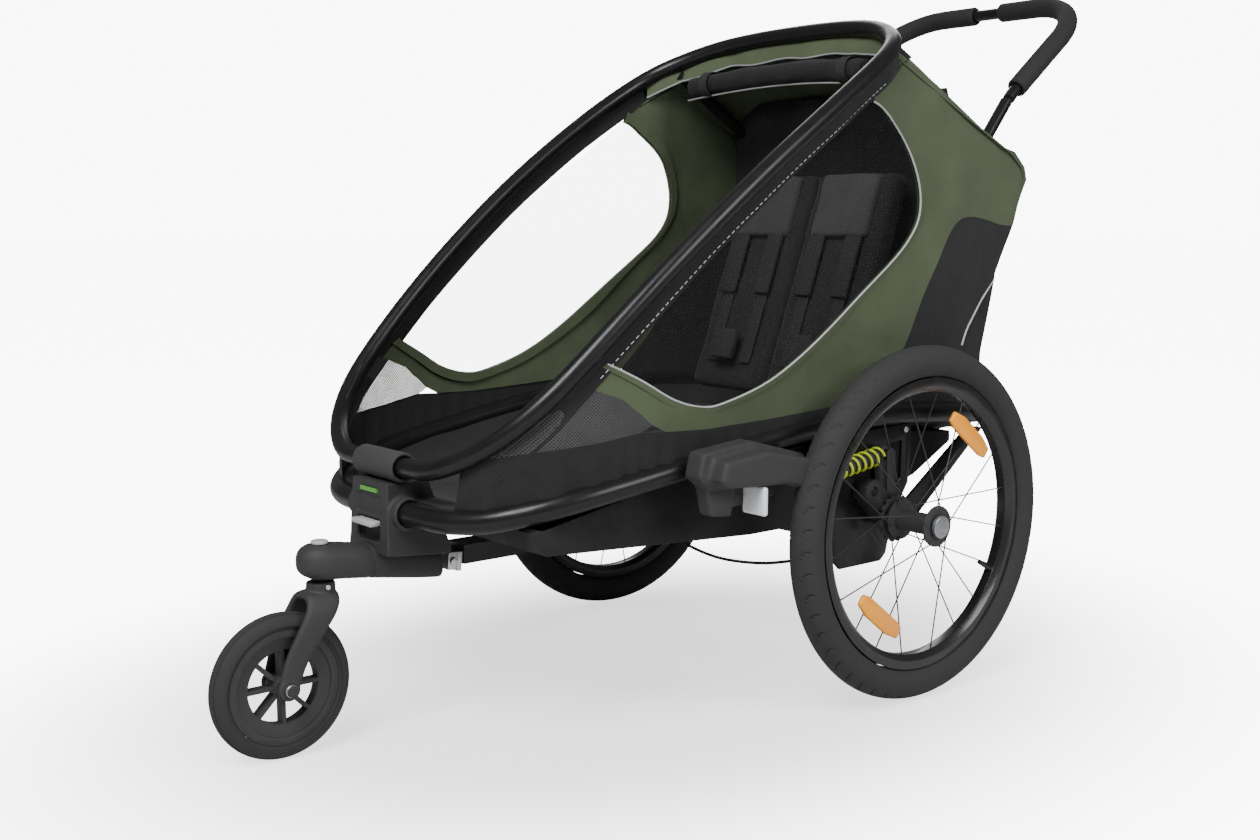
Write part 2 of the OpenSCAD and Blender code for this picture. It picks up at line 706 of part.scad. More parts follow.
// Moulded fork: stem, crown and two legs that lean forward to the axle
module fork() {
    leg_x = fork_w / 2;
    color("#1f2022") difference() {
        union() {
            translate([0, kingpin_y, fork_crown_z]) cylinder(r = stem_d / 2, h = nose_z + nose_h / 2 - 18 - fork_crown_z);
            translate([0, kingpin_y, fork_crown_z - 2]) cylinder(r = 19, h = fork_top - fork_crown_z + 2);
            hull() {
                translate([-leg_x - fork_leg_t, kingpin_y - 18, fork_crown_z - 16]) cube([2 * (leg_x + fork_leg_t), fork_depth, 10]);
                translate([-20, kingpin_y - 18, fork_crown_z - 2]) cube([40, fork_depth, 4]);
            }
            for (side = [-1, 1]) on_side(side) hull() {
                translate([leg_x, kingpin_y - 18, fork_crown_z - 12]) cube([fork_leg_t, fork_depth, 8]);
                translate([leg_x, kingpin_y - caster_trail, caster_r]) rotate([0, 90, 0]) cylinder(r = 14, h = fork_leg_t);
            }
        }
        translate([-60, kingpin_y - caster_trail, caster_r]) rotate([0, 90, 0])
            cylinder(r = caster_axle_d / 2 + running_fit, h = 120);
        translate([-leg_x, kingpin_y - caster_trail, caster_r]) rotate([0, 90, 0])
            cylinder(r = caster_r + 7, h = 2 * leg_x);
    }
}

module fork_bolts() {
    reach = fork_w / 2 + fork_leg_t;
    color("#8f9295") {
        translate([19, kingpin_y, (fork_crown_z + fork_top) / 2]) rotate([0, 90, 0]) cylinder(r = 3.5, h = 3);
        for (side = [-1, 1]) on_side(side) translate([reach + 0.2, kingpin_y - caster_trail, caster_r])
            rotate([0, 90, 0]) cylinder(r = 8, h = 5);
    }
}

module at_caster_axle() {
    translate([0, kingpin_y - caster_trail, caster_r]) rotate([0, 90, 0]) children();
}

caster_tyre_wall = 20;

module caster_tyre() {
    bed_r = caster_r - caster_tyre_wall;
    color("#1b1b1d") at_caster_axle() rotate_extrude($fn = 96) union() {
        translate([bed_r, -caster_w / 2 + 2]) square([caster_tyre_wall - 8, caster_w - 4]);
        intersection() {
            translate([caster_r - caster_w / 2 - 2, 0]) circle(caster_w / 2 + 2);
            translate([bed_r + 4, -caster_w / 2]) square([caster_tyre_wall, caster_w]);
        }
    }
}

module caster_rim() {
    bed_r = caster_r - caster_tyre_wall - 0.1;
    spokes_n = 8;
    color("#202124") at_caster_axle() difference() {
        union() {
            difference() {
                translate([0, 0, -caster_w / 2 + 3]) cylinder(r = bed_r, h = caster_w - 6);
                translate([0, 0, -caster_w / 2]) cylinder(r = bed_r - 10, h = caster_w);
            }
            translate([0, 0, -caster_w / 2]) cylinder(r = 14, h = caster_w);
            for (i = [0 : spokes_n - 1]) rotate([0, 0, 360 * i / spokes_n])
                translate([11, -2.5, -8]) cube([bed_r - 18, 5, 16]);
        }
        translate([0, 0, -caster_w]) cylinder(r = caster_axle_d / 2 + running_fit, h = 2 * caster_w);
    }
}

module caster_axle() {
    reach = fork_w / 2 + fork_leg_t;
    color("#707274") at_caster_axle() translate([0, 0, -reach]) cylinder(r = caster_axle_d / 2, h = 2 * reach);
}

// ---- soft parts ---------------------------------------------------------------------------

// Floor tub: side profile of [y, lift] points with an open top
module floor_tub() {
    outline = [[front_y + 72, 44], [front_y + 90, 14], [-220, tub_floor_lift], [-60, tub_floor_lift],
        [120, 40], [205, 84], [205, 100], [0, 118], [-200, 104], [front_y + 230, 74]];
    hollow = [[front_y + 80, 60], [front_y + 96, 20], [-220, tub_floor_lift + tub_wall],
        [-62, tub_floor_lift + tub_wall], [118, 46], [200, 88], [200, 200], [front_y + 80, 200]];
    color("#1b1b1c") difference() {
        side_plate(-tub_x, 2 * tub_x, outline);
        side_plate(-tub_x + tub_wall, 2 * (tub_x - tub_wall), hollow);
    }
}

seat_x = 168;
seat_hinge_y = 50;
seat_lean = 20;
seat_hinge_lift = 150;

module seat_cushion() {
    outline = [[-300, 60], [40, 40], [56, 60], [44, 104], [-20, 116], [-280, 120], [-310, 104]];
    color("#3a3a3c") side_plate(-seat_x, 2 * seat_x, outline);
}

// Backrest that leans back from its hinge line behind the cushion
module seat_back() {
    length = 370;
    color("#3a3a3c") translate([-seat_x, seat_hinge_y, axle_z + seat_hinge_lift]) rotate([-seat_lean, 0, 0])
        translate([0, -28, -8]) cube([2 * seat_x, 38, length]);
}

module harness() {
    color("#18181a") translate([0, seat_hinge_y, axle_z + seat_hinge_lift]) rotate([-seat_lean, 0, 0])
        for (seat = [-1, 1]) for (strap = [-1, 1])
            translate([seat * seat_x / 2 + strap * 38 - 12, -32.5, 40]) cube([24, 4, 250]);
}

// Rear edge of the right side cover, after its lower edge: [x, y, lift]
side_lower = [[rail_x - 68, front_y + 50, 86], [rail_x - 34, front_y + 110, 104], [rail_x - 12, front_y + 190, 118],
    [rail_x - 4, front_y + 290, 132], [rail_x, -230, 152], [rail_x, -100, 163], [rail_x, 40, 168],
    [rail_x - 2, 150, 162], [rail_x - 8, 212, 158], [rail_x - 12, 226, 226], [rail_x - 18, 256, 345],
    [rail_x - 12, 304, 408], [rail_x - 8, 336, 482], [rail_x - 8, 310, 528]];
cover_behind = hoop_d / 2 + 4;
side_upper_start = 75;
side_upper_end = hoop_len - 95;

// Right side cover as a grid between the hoop and the lower and rear edges
function hoop_half_width(along) = let (p = [for (q = hoop_half) [q[0], q[1], 0]]) width_from(p, along, 0);
function width_from(p, along, i) =
    along <= p[i + 1][0] || i >= len(p) - 2
        ? p[i][1] + (p[i + 1][1] - p[i][1]) * (along - p[i][0]) / (p[i + 1][0] - p[i][0])
        : width_from(p, along, i + 1);
function side_point(s, t) =
    let (along = side_upper_start + (side_upper_end - side_upper_start) * t,
        top = hoop_point(along, hoop_half_width(along) - 2, cover_behind),
        low = curve_at(side_lower, t) + [0, 0, axle_z],
        billow = 6 * sin(180 * s))
    top * (1 - s) + low * s + [billow, 0, 0];
side_rows = 5;
side_columns = 28;

module side_covers() {
    grid = [for (i = [0 : side_rows]) [for (j = [0 : side_columns]) side_point(1 - i / side_rows, j / side_columns)]];
    color("#4a5a37") for (side = [-1, 1]) on_side(side) sheet(grid, [-skin, 0, 0]);
}

// Rear cover: over the top from the hoop to the rear corner, then down to the lower frame
roof_half = bar_x - push_tube_d / 2 - 3;
rear_profile = [[hoop_top_y - 26, hoop_top_lift - 30], [190, 639], [290, 561], [328, 531], [345, 481],
    [312, 411], [262, 335], [244, 235], [243, 163]];

module rear_cover() {
    rows = 16;
    across = 10;
    grid = [for (i = [0 : rows]) let (p = curve_at(rear_profile, i / rows))
        [for (j = [0 : across]) let (x = -1 + 2 * j / across)
            [x * roof_half, p[0] - 16 * x * x * (1 - i / rows), axle_z + p[1] - 10 * x * x * (1 - i / rows)]]];
    color("#4a5a37") sheet(grid, [0, -skin * 0.8, -skin * 0.8]);
}

// Rolled-up front cover, strapped under the top of the hoop
module front_cover_roll() {
    roll_r = 15;
    route = [for (x = [-190, -95, 0, 95, 190])
        hoop_point(hoop_len - 70 - 24 * pow(x / 190, 2), x, 34)];
    color("#1a1a1b") tube_along(open_curve(route, 16), roll_r, sides = 12);
}

// ---- assembly -----------------------------------------------------------------------------

placed() lower_frame();
placed() front_connector();
placed() connector_marker();
placed() hoop_sleeve();
placed() release_button();
placed() upper_hoop();
placed() hoop_rear_arm(-1);  // hoop_rear_arm_left
placed() hoop_rear_arm(1);  // hoop_rear_arm_right
placed() front_cover_roll();
placed() back_frame();
placed() push_bar();
placed() grip(-1);  // grip_left
placed() grip(1);  // grip_right
placed() bar_button(-1);  // bar_button_left
placed() bar_button(1);  // bar_button_right
placed() centre_beam();
placed() rear_axle_beam();
placed() suspension_plate(-1);  // suspension_plate_left
placed() suspension_plate(1);  // suspension_plate_right
placed() rear_bracket(-1);  // rear_bracket_left
placed() rear_bracket(1);  // rear_bracket_right
placed() swing_arm(-1);  // swing_arm_left
placed() swing_arm(1);  // swing_arm_right
placed() damper(-1);  // damper_left
placed() damper(1);  // damper_right
placed() suspension_spring(-1);  // suspension_spring_left
placed() suspension_spring(1);  // suspension_spring_right
placed() wheel_guard(-1);  // wheel_guard_left
placed() wheel_guard(1);  // wheel_guard_right
placed() front_reflector(-1);  // front_reflector_left
placed() front_reflector(1);  // front_reflector_right
placed() rear_reflectors();
placed() tyre(-1);  // tyre_left
placed() tyre(1);  // tyre_right
placed() rim(-1);  // rim_left
placed() rim(1);  // rim_right
placed() spokes(-1);  // spokes_left
placed() spokes(1);  // spokes_right
placed() hub(-1);  // hub_left
placed() hub(1);  // hub_right
placed() hub_button(-1);  // hub_button_left
placed() hub_button(1);  // hub_button_right
placed() wheel_reflectors(-1);  // wheel_reflectors_left
placed() wheel_reflectors(1);  // wheel_reflectors_right
placed() brake_pedal();
placed() brake_cable();
placed() stroller_arm();
placed() arm_bracket();
placed() swivel_lock_button();
placed() fork();
placed() fork_bolts();
placed() caster_tyre();
placed() caster_rim();
placed() caster_axle();
placed() floor_tub();
placed() seat_cushion();
placed() seat_back();
placed() harness();
placed() side_covers();
placed() rear_cover();
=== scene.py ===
"""Looks of a two-seat child bicycle trailer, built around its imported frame.

Lengths are metres. Points written as (y, z) or (x, y, z) in the classes are measured along Y from the
rear axle; place() moves them into the frame.
"""

from __future__ import annotations

import json
import logging
import math
from dataclasses import dataclass
from enum import Enum
from typing import Callable, Iterable, Sequence

import bpy
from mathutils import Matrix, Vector, noise
from mathutils.geometry import delaunay_2d_cdt

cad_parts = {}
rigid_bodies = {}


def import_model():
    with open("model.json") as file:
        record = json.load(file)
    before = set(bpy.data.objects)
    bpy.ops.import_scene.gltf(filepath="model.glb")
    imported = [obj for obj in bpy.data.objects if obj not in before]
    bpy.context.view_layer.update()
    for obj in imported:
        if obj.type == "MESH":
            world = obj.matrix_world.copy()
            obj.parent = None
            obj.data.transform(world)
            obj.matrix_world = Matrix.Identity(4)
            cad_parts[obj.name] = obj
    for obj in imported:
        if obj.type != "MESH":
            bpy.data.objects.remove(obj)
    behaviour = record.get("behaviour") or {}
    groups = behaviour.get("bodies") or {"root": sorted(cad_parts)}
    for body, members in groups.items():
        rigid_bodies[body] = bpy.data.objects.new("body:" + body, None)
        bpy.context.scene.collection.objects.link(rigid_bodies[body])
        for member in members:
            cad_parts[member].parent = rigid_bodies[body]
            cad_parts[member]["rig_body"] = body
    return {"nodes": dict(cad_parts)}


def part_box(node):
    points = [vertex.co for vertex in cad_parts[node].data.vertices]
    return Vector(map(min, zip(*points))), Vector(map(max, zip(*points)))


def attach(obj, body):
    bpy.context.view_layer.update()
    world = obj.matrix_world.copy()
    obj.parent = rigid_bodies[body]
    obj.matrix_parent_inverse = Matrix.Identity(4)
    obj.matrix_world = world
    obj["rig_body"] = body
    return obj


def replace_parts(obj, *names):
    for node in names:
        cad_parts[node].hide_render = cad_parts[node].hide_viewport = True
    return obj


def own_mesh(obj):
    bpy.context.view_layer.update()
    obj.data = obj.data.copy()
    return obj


LOG = logging.getLogger("trailer")
CENTRE_SHIFT = 0.157
WHEEL_X = 0.345
WHEEL_R = 0.250
Point2 = tuple[float, float]
Point3 = tuple[float, float, float]
Surface = Callable[[float, float], Point3]
Object = bpy.types.Object


class Side(Enum):
    """The two sides of the trailer."""

    RIGHT = 1
    LEFT = -1

    @property
    def word(self) -> str:
        """The side's name as the frame's nodes use it."""
        return self.name.lower()


class Axis(Enum):
    """Directions that a turned piece can lie along, each with the turn from Z."""

    X = (0, math.pi / 2, 0)
    Z = (0, 0, 0)


class Pattern(Enum):
    """Fine structure of a finish."""

    GRAIN = "grain"
    WEAVE_SIDE = "weave in the side plane"
    WEAVE_TOP = "weave in the top plane"
    NET = "open net"
    BRUSHED = "brushed rings"
    RIBS = "moulded ribs"


# ---- numbers and curves -------------------------------------------------------------------


def place(x: float, y: float, z: float) -> Point3:
    """A point measured from the rear axle, moved into the frame."""
    return (x, y + CENTRE_SHIFT, z)


def lerp(a: float, b: float, t: float) -> float:
    """Value at share t between a and b."""
    return a + (b - a) * t


def smooth_step(low: float, high: float, value: float) -> float:
    """Smooth 0 to 1 as value goes from low to high."""
    t = min(1.0, max(0.0, (value - low) / (high - low)))
    return t * t * (3 - 2 * t)


def table_value(table: Sequence[Point2], key: float) -> float:
    """Reads a table of (key, value) pairs.

    Args:
        table: Pairs in rising order of key.
        key: Where to read the table.

    Returns:
        The value there, straight between rows, or that of the nearest end.
    """
    if key <= table[0][0]:
        return table[0][1]
    for (k0, v0), (k1, v1) in zip(table, table[1:]):
        if key <= k1:
            return lerp(v0, v1, (key - k0) / (k1 - k0))
    return table[-1][1]


def spline(points: Sequence[Sequence[float]], steps: int) -> list[tuple[float, ...]]:
    """Smooth open curve through points.

    Args:
        points: The points, in two or three dimensions.
        steps: How many pieces each span gets.

    Returns:
        The curve's points.
    """
    last = len(points) - 1
    made = []
    for i in range(last):
        a, b, c, d = points[max(i - 1, 0)], points[i], points[i + 1], points[min(i + 2, last)]
        for k in range(steps):
            t = k / steps
            made.append(tuple(
                0.5 * (2 * q + (r - p) * t + (2 * p - 5 * q + 4 * r - s) * t * t
                       + (3 * q - 3 * r + s - p) * t**3)
                for p, q, r, s in zip(a, b, c, d)))
    return [*made, tuple(points[-1])]


def edges_of(outline: Sequence[Point2]) -> Iterable[tuple[Point2, Point2]]:
    """Each edge of a closed outline, as its two ends."""
    return zip(outline, [*outline[1:], outline[0]])


def inside(outline: Sequence[Point2], y: float, z: float) -> bool:
    """Whether the point (y, z) lies inside a closed outline."""
    crossings = [(b[0] - a[0]) * (z - a[1]) / (b[1] - a[1]) + a[0] for a, b in edges_of(outline)
                 if (a[1] > z) != (b[1] > z)]
    return sum(y < crossing for crossing in crossings) % 2 == 1


def edge_gap(outline: Sequence[Point2], y: float, z: float) -> float:
    """Distance from the point (y, z) to the nearest edge of an outline."""
    best = math.inf
    for a, b in edges_of(outline):
        dy, dz = b[0] - a[0], b[1] - a[1]
        t = max(0.0, min(1.0, ((y - a[0]) * dy + (z - a[1]) * dz) / max(dy * dy + dz * dz, 1e-12)))
        best = min(best, math.hypot(y - a[0] - t * dy, z - a[1] - t * dz))
    return best


def cut_size(outline: Sequence[Point2]) -> Point2:
    """Width and length of the smallest rectangle that a flat piece can be cut from."""
    sizes = []
    for degrees in range(0, 90, 5):
        c, s = math.cos(math.radians(degrees)), math.sin(math.radians(degrees))
        across = [y * c + z * s for y, z in outline]
        along = [z * c - y * s for y, z in outline]
        sizes.append((max(across) - min(across), max(along) - min(along)))
    return min(sizes, key=lambda size: size[0] * size[1])


# ---- modelling tools ----------------------------------------------------------------------


def take(obj: Object) -> Object:
    """Selects one object alone and makes it the active one."""
    bpy.ops.object.select_all(action="DESELECT")
    obj.select_set(True)
    bpy.context.view_layer.objects.active = obj
    return obj


def settled(obj: Object, name: str) -> Object:
    """Names a new piece and moves its place, turn and size into its mesh."""
    take(obj)
    bpy.ops.object.transform_apply(location=True, rotation=True, scale=True)
    obj.name = name
    obj.data.name = name
    return obj


def modified(obj: Object, kind: str, **settings: object) -> Object:
    """Adds a modifier of a kind with the given settings and applies it."""
    take(obj)
    modifier = obj.modifiers.new(kind.lower(), kind)
    for key, value in settings.items():
        setattr(modifier, key, value)
    bpy.ops.object.modifier_apply(modifier=modifier.name)
    return obj


def smoothed(obj: Object, degrees: float = 35) -> Object:
    """Shades a piece smooth, apart from edges sharper than an angle."""
    take(obj)
    bpy.ops.object.shade_smooth_by_angle(angle=math.radians(degrees))
    return obj


def rounded(obj: Object, width: float, segments: int = 3, degrees: float = 30) -> Object:
    """Rounds the edges of a piece.

    Args:
        obj: The piece.
        width: How wide each rounding is.
        segments: How many strips it is made of.
        degrees: Edges that turn less than this stay.

    Returns:
        The piece.
    """
    modified(obj, "BEVEL", width=width, segments=segments, limit_method="ANGLE",
             angle_limit=math.radians(degrees))
    return smoothed(obj)


def edited(obj: Object, *steps: Callable[[], object]) -> Object:
    """Runs edit-mode steps on a whole mesh."""
    take(obj)
    bpy.ops.object.mode_set(mode="EDIT")
    bpy.ops.mesh.select_all(action="SELECT")
    for step in steps:
        step()
    bpy.ops.object.mode_set(mode="OBJECT")
    return obj


def merge_doubles() -> None:
    """Merges points that lie on each other, in edit mode."""
    bpy.ops.mesh.remove_doubles(threshold=2e-5)


def face_outwards() -> None:
    """Turns all faces outwards, in edit mode."""
    bpy.ops.mesh.normals_make_consistent(inside=False)


def new_mesh(name: str, points: Iterable[Sequence[float]], faces: Iterable[Sequence[int]]) -> Object:
    """A new object from points and faces."""
    mesh = bpy.data.meshes.new(name)
    mesh.from_pydata([tuple(p) for p in points], [], [tuple(f) for f in faces])
    obj = bpy.data.objects.new(name, mesh)
    bpy.context.scene.collection.objects.link(obj)
    return obj


def joined(name: str, parts: Sequence[Object]) -> Object:
    """Joins several objects into one piece."""
    take(parts[0])
    for part in parts[1:]:
        part.select_set(True)
    bpy.ops.object.join()
    parts[0].name = name
    parts[0].data.name = name
    return parts[0]


def box(name: str, size: Point3, centre: Point3, edge: float, tilt: Point3 = (0, 0, 0)) -> Object:
    """A block with rounded edges, turned by tilt about its centre."""
    bpy.ops.mesh.primitive_cube_add(size=1, location=centre, rotation=tilt)
    bpy.context.object.scale = size
    return rounded(settled(bpy.context.object, name), edge)


def disc(name: str, radius: float, depth: float, centre: Point3, axis: Axis, edge: float,
         sides: int = 48) -> Object:
    """A short cylinder along an axis, with rounded rims."""
    bpy.ops.mesh.primitive_cylinder_add(vertices=sides, radius=radius, depth=depth, location=centre,
                                        rotation=axis.value)
    return rounded(settled(bpy.context.object, name), edge)


def turned(name: str, profile: Sequence[Point2], centre: Point3, steps: int = 96,
           dent: Callable[[float, int], float] | None = None) -> Object:
    """A closed profile spun about an axle along X.

    Args:
        name: The piece's name.
        profile: The closed outline, as (radius, distance along X).
        centre: The middle of the axle.
        steps: How many segments the turn has.
        dent: How far a point sinks, from its turn in radians and its place in the profile.

    Returns:
        The piece.
    """
    count = len(profile)
    points = []
    for i in range(steps):
        angle = math.tau * i / steps
        for k, (radius, x) in enumerate(profile):
            r = radius - (dent(angle, k) if dent else 0)
            points.append((centre[0] + x, centre[1] + r * math.cos(angle), centre[2] + r * math.sin(angle)))
    faces = [(i * count + k, i * count + (k + 1) % count, (i + 1) % steps * count + (k + 1) % count,
              (i + 1) % steps * count + k) for i in range(steps) for k in range(count)]
    return smoothed(edited(new_mesh(name, points, faces), face_outwards))


def tube(name: str, points: Sequence[Sequence[float]], radius: float) -> Object:
    """A round tube along points, as a mesh.

    Args:
        name: The piece's name.
        points: The centre line.
        radius: The tube's radius.

    Returns:
        The piece.
    """
    curve = bpy.data.curves.new(name, "CURVE")
    curve.dimensions = "3D"
    line = curve.splines.new("POLY")
    line.points.add(len(points) - 1)
    for target, point in zip(line.points, points):
        target.co = (*point, 1.0)
    curve.bevel_depth = radius
    curve.bevel_resolution = 2
    curve.use_fill_caps = True
    obj = bpy.data.objects.new(name, curve)
    bpy.context.scene.collection.objects.link(obj)
    take(obj)
    bpy.ops.object.convert(target="MESH")
    return smoothed(edited(bpy.context.object, merge_doubles, face_outwards), 60)


def grid_sheet(name: str, rows: Sequence[Sequence[Point3]], thickness: float,
               open_at: Callable[[int, int], bool] | None = None) -> Object:
    """A sheet of cloth over a grid of points.

    Args:
        name: The piece's name.
        rows: Rows of points, all of one length.
        thickness: The cloth's thickness, laid on the inner side.
        open_at: Whether the grid's cell at (row, column) is left open.

    Returns:
        The piece.
    """
    across = len(rows[0])
    points = [p for row in rows for p in row]
    faces = [(i * across + j, i * across + j + 1, (i + 1) * across + j + 1, (i + 1) * across + j)
             for i in range(len(rows) - 1) for j in range(across - 1)
             if not (open_at and open_at(i, j))]
    obj = new_mesh(name, points, faces)
    return smoothed(modified(obj, "SOLIDIFY", thickness=thickness, offset=0), 60)


def cloth(name: str, outline: Sequence[Point2], surface: Surface, step: float,
          thickness: float = 0.0012) -> Object:
    """A panel of cloth cut to an outline and laid on a surface.

    Args:
        name: The piece's name.
        outline: The cut edge, as (y, z) points.
        surface: Where each (y, z) of the cloth lies in the frame.
        step: The size of its triangles.
        thickness: The cloth's thickness.

    Returns:
        The piece.
    """
    rim: list[Point2] = []
    for a, b in edges_of(outline):
        pieces = max(1, round(math.dist(a, b) / step))
        rim += [(lerp(a[0], b[0], k / pieces), lerp(a[1], b[1], k / pieces)) for k in range(pieces)]
    ys, zs = [p[0] for p in outline], [p[1] for p in outline]
    row_gap = step * 0.866
    filling = []
    for row in range(int((max(zs) - min(zs)) / row_gap) + 1):
        z = min(zs) + row * row_gap
        for column in range(int((max(ys) - min(ys)) / step) + 1):
            y = min(ys) + (column + row % 2 / 2) * step
            if inside(outline, y, z) and edge_gap(rim, y, z) > step * 0.55:
                filling.append((y, z))
    loop = list(range(len(rim)))
    points, _, faces, *_ = delaunay_2d_cdt([Vector(p) for p in rim + filling],
                                           [(i, (i + 1) % len(rim)) for i in loop], [loop], 1, 1e-6)
    obj = new_mesh(name, [surface(p.x, p.y) for p in points], faces)
    return smoothed(modified(obj, "SOLIDIFY", thickness=thickness, offset=0), 60)


def declared_sheet(outline: Sequence[Point2]) -> None:
    """Works out the smallest rectangle that a sheet's outline can be cut from; the result is not kept.

    Args:
        outline: Its cut edge, as (y, z) points.
    """
    width, length = cut_size(outline)


# ---- finishes -----------------------------------------------------------------------------


class Shader:
    """Builds one material's nodes around its main shader."""

    def __init__(self, name: str) -> None:
        """Starts a material with one empty principled shader."""
        self.material = bpy.data.materials.new(name)
        self.material.use_nodes = True
        self.tree = self.material.node_tree
        self.main = self.tree.nodes["Principled BSDF"]
        self.place = self.add("ShaderNodeTexCoord").outputs["Object"]

    def add(self, kind: str, **settings: object) -> bpy.types.Node:
        """Adds a node, with its own settings."""
        node = self.tree.nodes.new(kind)
        for key, value in settings.items():
            setattr(node, key, value)
        return node

    def link(self, source: bpy.types.NodeSocket, target: bpy.types.NodeSocket) -> None:
        """Joins an output to an input."""
        self.tree.links.new(source, target)

    def noise(self, scale: float, detail: float = 4, stretch: Point3 = (1, 1, 1)) -> bpy.types.NodeSocket:
        """Noise from 0 to 1, stretched along the axes."""
        mapping = self.add("ShaderNodeMapping")
        mapping.inputs["Scale"].default_value = stretch
        self.link(self.place, mapping.inputs["Vector"])
        node = self.add("ShaderNodeTexNoise")
        node.inputs["Scale"].default_value = scale
        node.inputs["Detail"].default_value = detail
        self.link(mapping.outputs["Vector"], node.inputs["Vector"])
        return node.outputs["Fac"]

    def wave(self, scale: float, direction: str) -> bpy.types.NodeSocket:
        """Soft parallel bands across an axis."""
        node = self.add("ShaderNodeTexWave", wave_type="BANDS", bands_direction=direction)
        node.inputs["Scale"].default_value = scale
        node.inputs["Distortion"].default_value = 0.4
        self.link(self.place, node.inputs["Vector"])
        return node.outputs["Fac"]

    def weave(self, scale: float, directions: str) -> bpy.types.NodeSocket:
        """Threads that cross in two directions."""
        node = self.add("ShaderNodeMath", operation="MULTIPLY")
        self.link(self.wave(scale, directions[0]), node.inputs[0])
        self.link(self.wave(scale, directions[1]), node.inputs[1])
        return node.outputs[0]

    def spread(self, source: bpy.types.NodeSocket, low: float, high: float) -> bpy.types.NodeSocket:
        """Maps the middle of a 0 to 1 value onto a range."""
        node = self.add("ShaderNodeMapRange")
        node.inputs["From Min"].default_value = 0.3
        node.inputs["From Max"].default_value = 0.7
        node.inputs["To Min"].default_value = low
        node.inputs["To Max"].default_value = high
        self.link(source, node.inputs["Value"])
        return node.outputs["Result"]

    def tones(self, source: bpy.types.NodeSocket, dark: Point3, light: Point3) -> None:
        """Colours the surface between two tones."""
        ramp = self.add("ShaderNodeValToRGB")
        ramp.color_ramp.elements[0].position = 0.3
        ramp.color_ramp.elements[0].color = (*dark, 1)
        ramp.color_ramp.elements[1].position = 0.7
        ramp.color_ramp.elements[1].color = (*light, 1)
        self.link(source, ramp.inputs["Fac"])
        self.link(ramp.outputs["Color"], self.main.inputs["Base Color"])

    def bump(self, heights: Sequence[tuple[bpy.types.NodeSocket, float]]) -> None:
        """Raises the surface by several textures, each with its depth in metres."""
        last = None
        for height, depth in heights:
            node = self.add("ShaderNodeBump")
            node.inputs["Strength"].default_value = 0.7
            node.inputs["Distance"].default_value = depth
            self.link(height, node.inputs["Height"])
            if last:
                self.link(last.outputs["Normal"], node.inputs["Normal"])
            last = node
        self.link(last.outputs["Normal"], self.main.inputs["Normal"])


@dataclass(frozen=True)
class Finish:
    """A surface finish: its colour, its shine and the fine structure under both."""

    name: str
    slot: str
    color: Point3
    roughness: float
    metallic: float = 0.0
    coat: float = 0.0
    sheen: float = 0.0
    mottle: float = 0.12
    grain: float = 220.0
    depth: float = 0.0002
    pattern: Pattern = Pattern.GRAIN
    clear: float = 0.0
    threads: float = 260.0
    shine: float = 0.35
    # Emission in the finish's own colour: painted light, for a part that shines though it is no lamp.
    glow: float = 0.0

    def structure(self, shader: Shader) -> list[tuple[bpy.types.NodeSocket, float]]:
        """Height textures of the finish, each with its depth in metres."""
        heights = [(shader.noise(self.grain), self.depth)]
        if self.pattern is Pattern.WEAVE_SIDE:
            heights.append((shader.weave(self.threads, "YZ"), self.depth * 1.5))
            heights.append((shader.noise(9, 3, (1, 0.7, 1.4)), 0.004))
        elif self.pattern is Pattern.WEAVE_TOP:
            heights.append((shader.weave(self.threads, "XY"), self.depth * 1.5))
            heights.append((shader.noise(9, 3, (1.4, 0.7, 1)), 0.004))
        elif self.pattern is Pattern.BRUSHED:
            heights.append((shader.noise(60, 2, (1, 12, 12)), self.depth))
        elif self.pattern is Pattern.RIBS:
            heights.append((shader.wave(90, "Z"), 0.0015))
        return heights

    def holes(self, shader: Shader) -> bpy.types.NodeSocket:
        """1 on the threads of an open net and 0 in its holes."""
        mapping = shader.add("ShaderNodeMapping")
        mapping.inputs["Rotation"].default_value = (math.radians(45), 0, 0)
        mapping.inputs["Scale"].default_value = (0.001, 1, 1)
        shader.link(shader.place, mapping.inputs["Vector"])
        cells = shader.add("ShaderNodeTexVoronoi")
        cells.inputs["Scale"].default_value = 330
        cells.inputs["Randomness"].default_value = 0.1
        shader.link(mapping.outputs["Vector"], cells.inputs["Vector"])
        thread = shader.add("ShaderNodeMath", operation="GREATER_THAN")
        thread.inputs[1].default_value = 0.30
        shader.link(cells.outputs["Distance"], thread.inputs[0])
        return thread.outputs[0]

    def material(self) -> bpy.types.Material:
        """The finish as a material, made once."""
        known = bpy.data.materials.get(self.name)
        if known:
            return known
        shader = Shader(self.name)
        low, high = 1 - self.mottle, 1 + self.mottle
        shader.tones(shader.noise(14, 5), tuple(c * low for c in self.color),
                     tuple(c * high for c in self.color))
        shader.link(shader.spread(shader.noise(40, 5), self.roughness - 0.06, self.roughness + 0.06),
                    shader.main.inputs["Roughness"])
        shader.main.inputs["Metallic"].default_value = self.metallic
        shader.main.inputs["Coat Weight"].default_value = self.coat
        shader.main.inputs["Coat Roughness"].default_value = 0.15
        shader.main.inputs["Specular IOR Level"].default_value = self.shine
        shader.main.inputs["Sheen Weight"].default_value = self.sheen
        shader.main.inputs["Sheen Roughness"].default_value = 0.5
        # Painted light: the piece emits its own colour.
        if self.glow:
            shader.main.inputs["Emission Color"].default_value = (*self.color, 1)
            shader.main.inputs["Emission Strength"].default_value = self.glow
        shader.bump(self.structure(shader))
        if self.pattern is Pattern.NET:
            shader.link(self.holes(shader), shader.main.inputs["Alpha"])
        else:
            shader.main.inputs["Alpha"].default_value = 1 - self.clear
        return shader.material

    def on(self, obj: Object) -> Object:
        """Gives a piece this finish."""
        obj.data.materials.clear()
        obj.data.materials.append(self.material())
        return obj


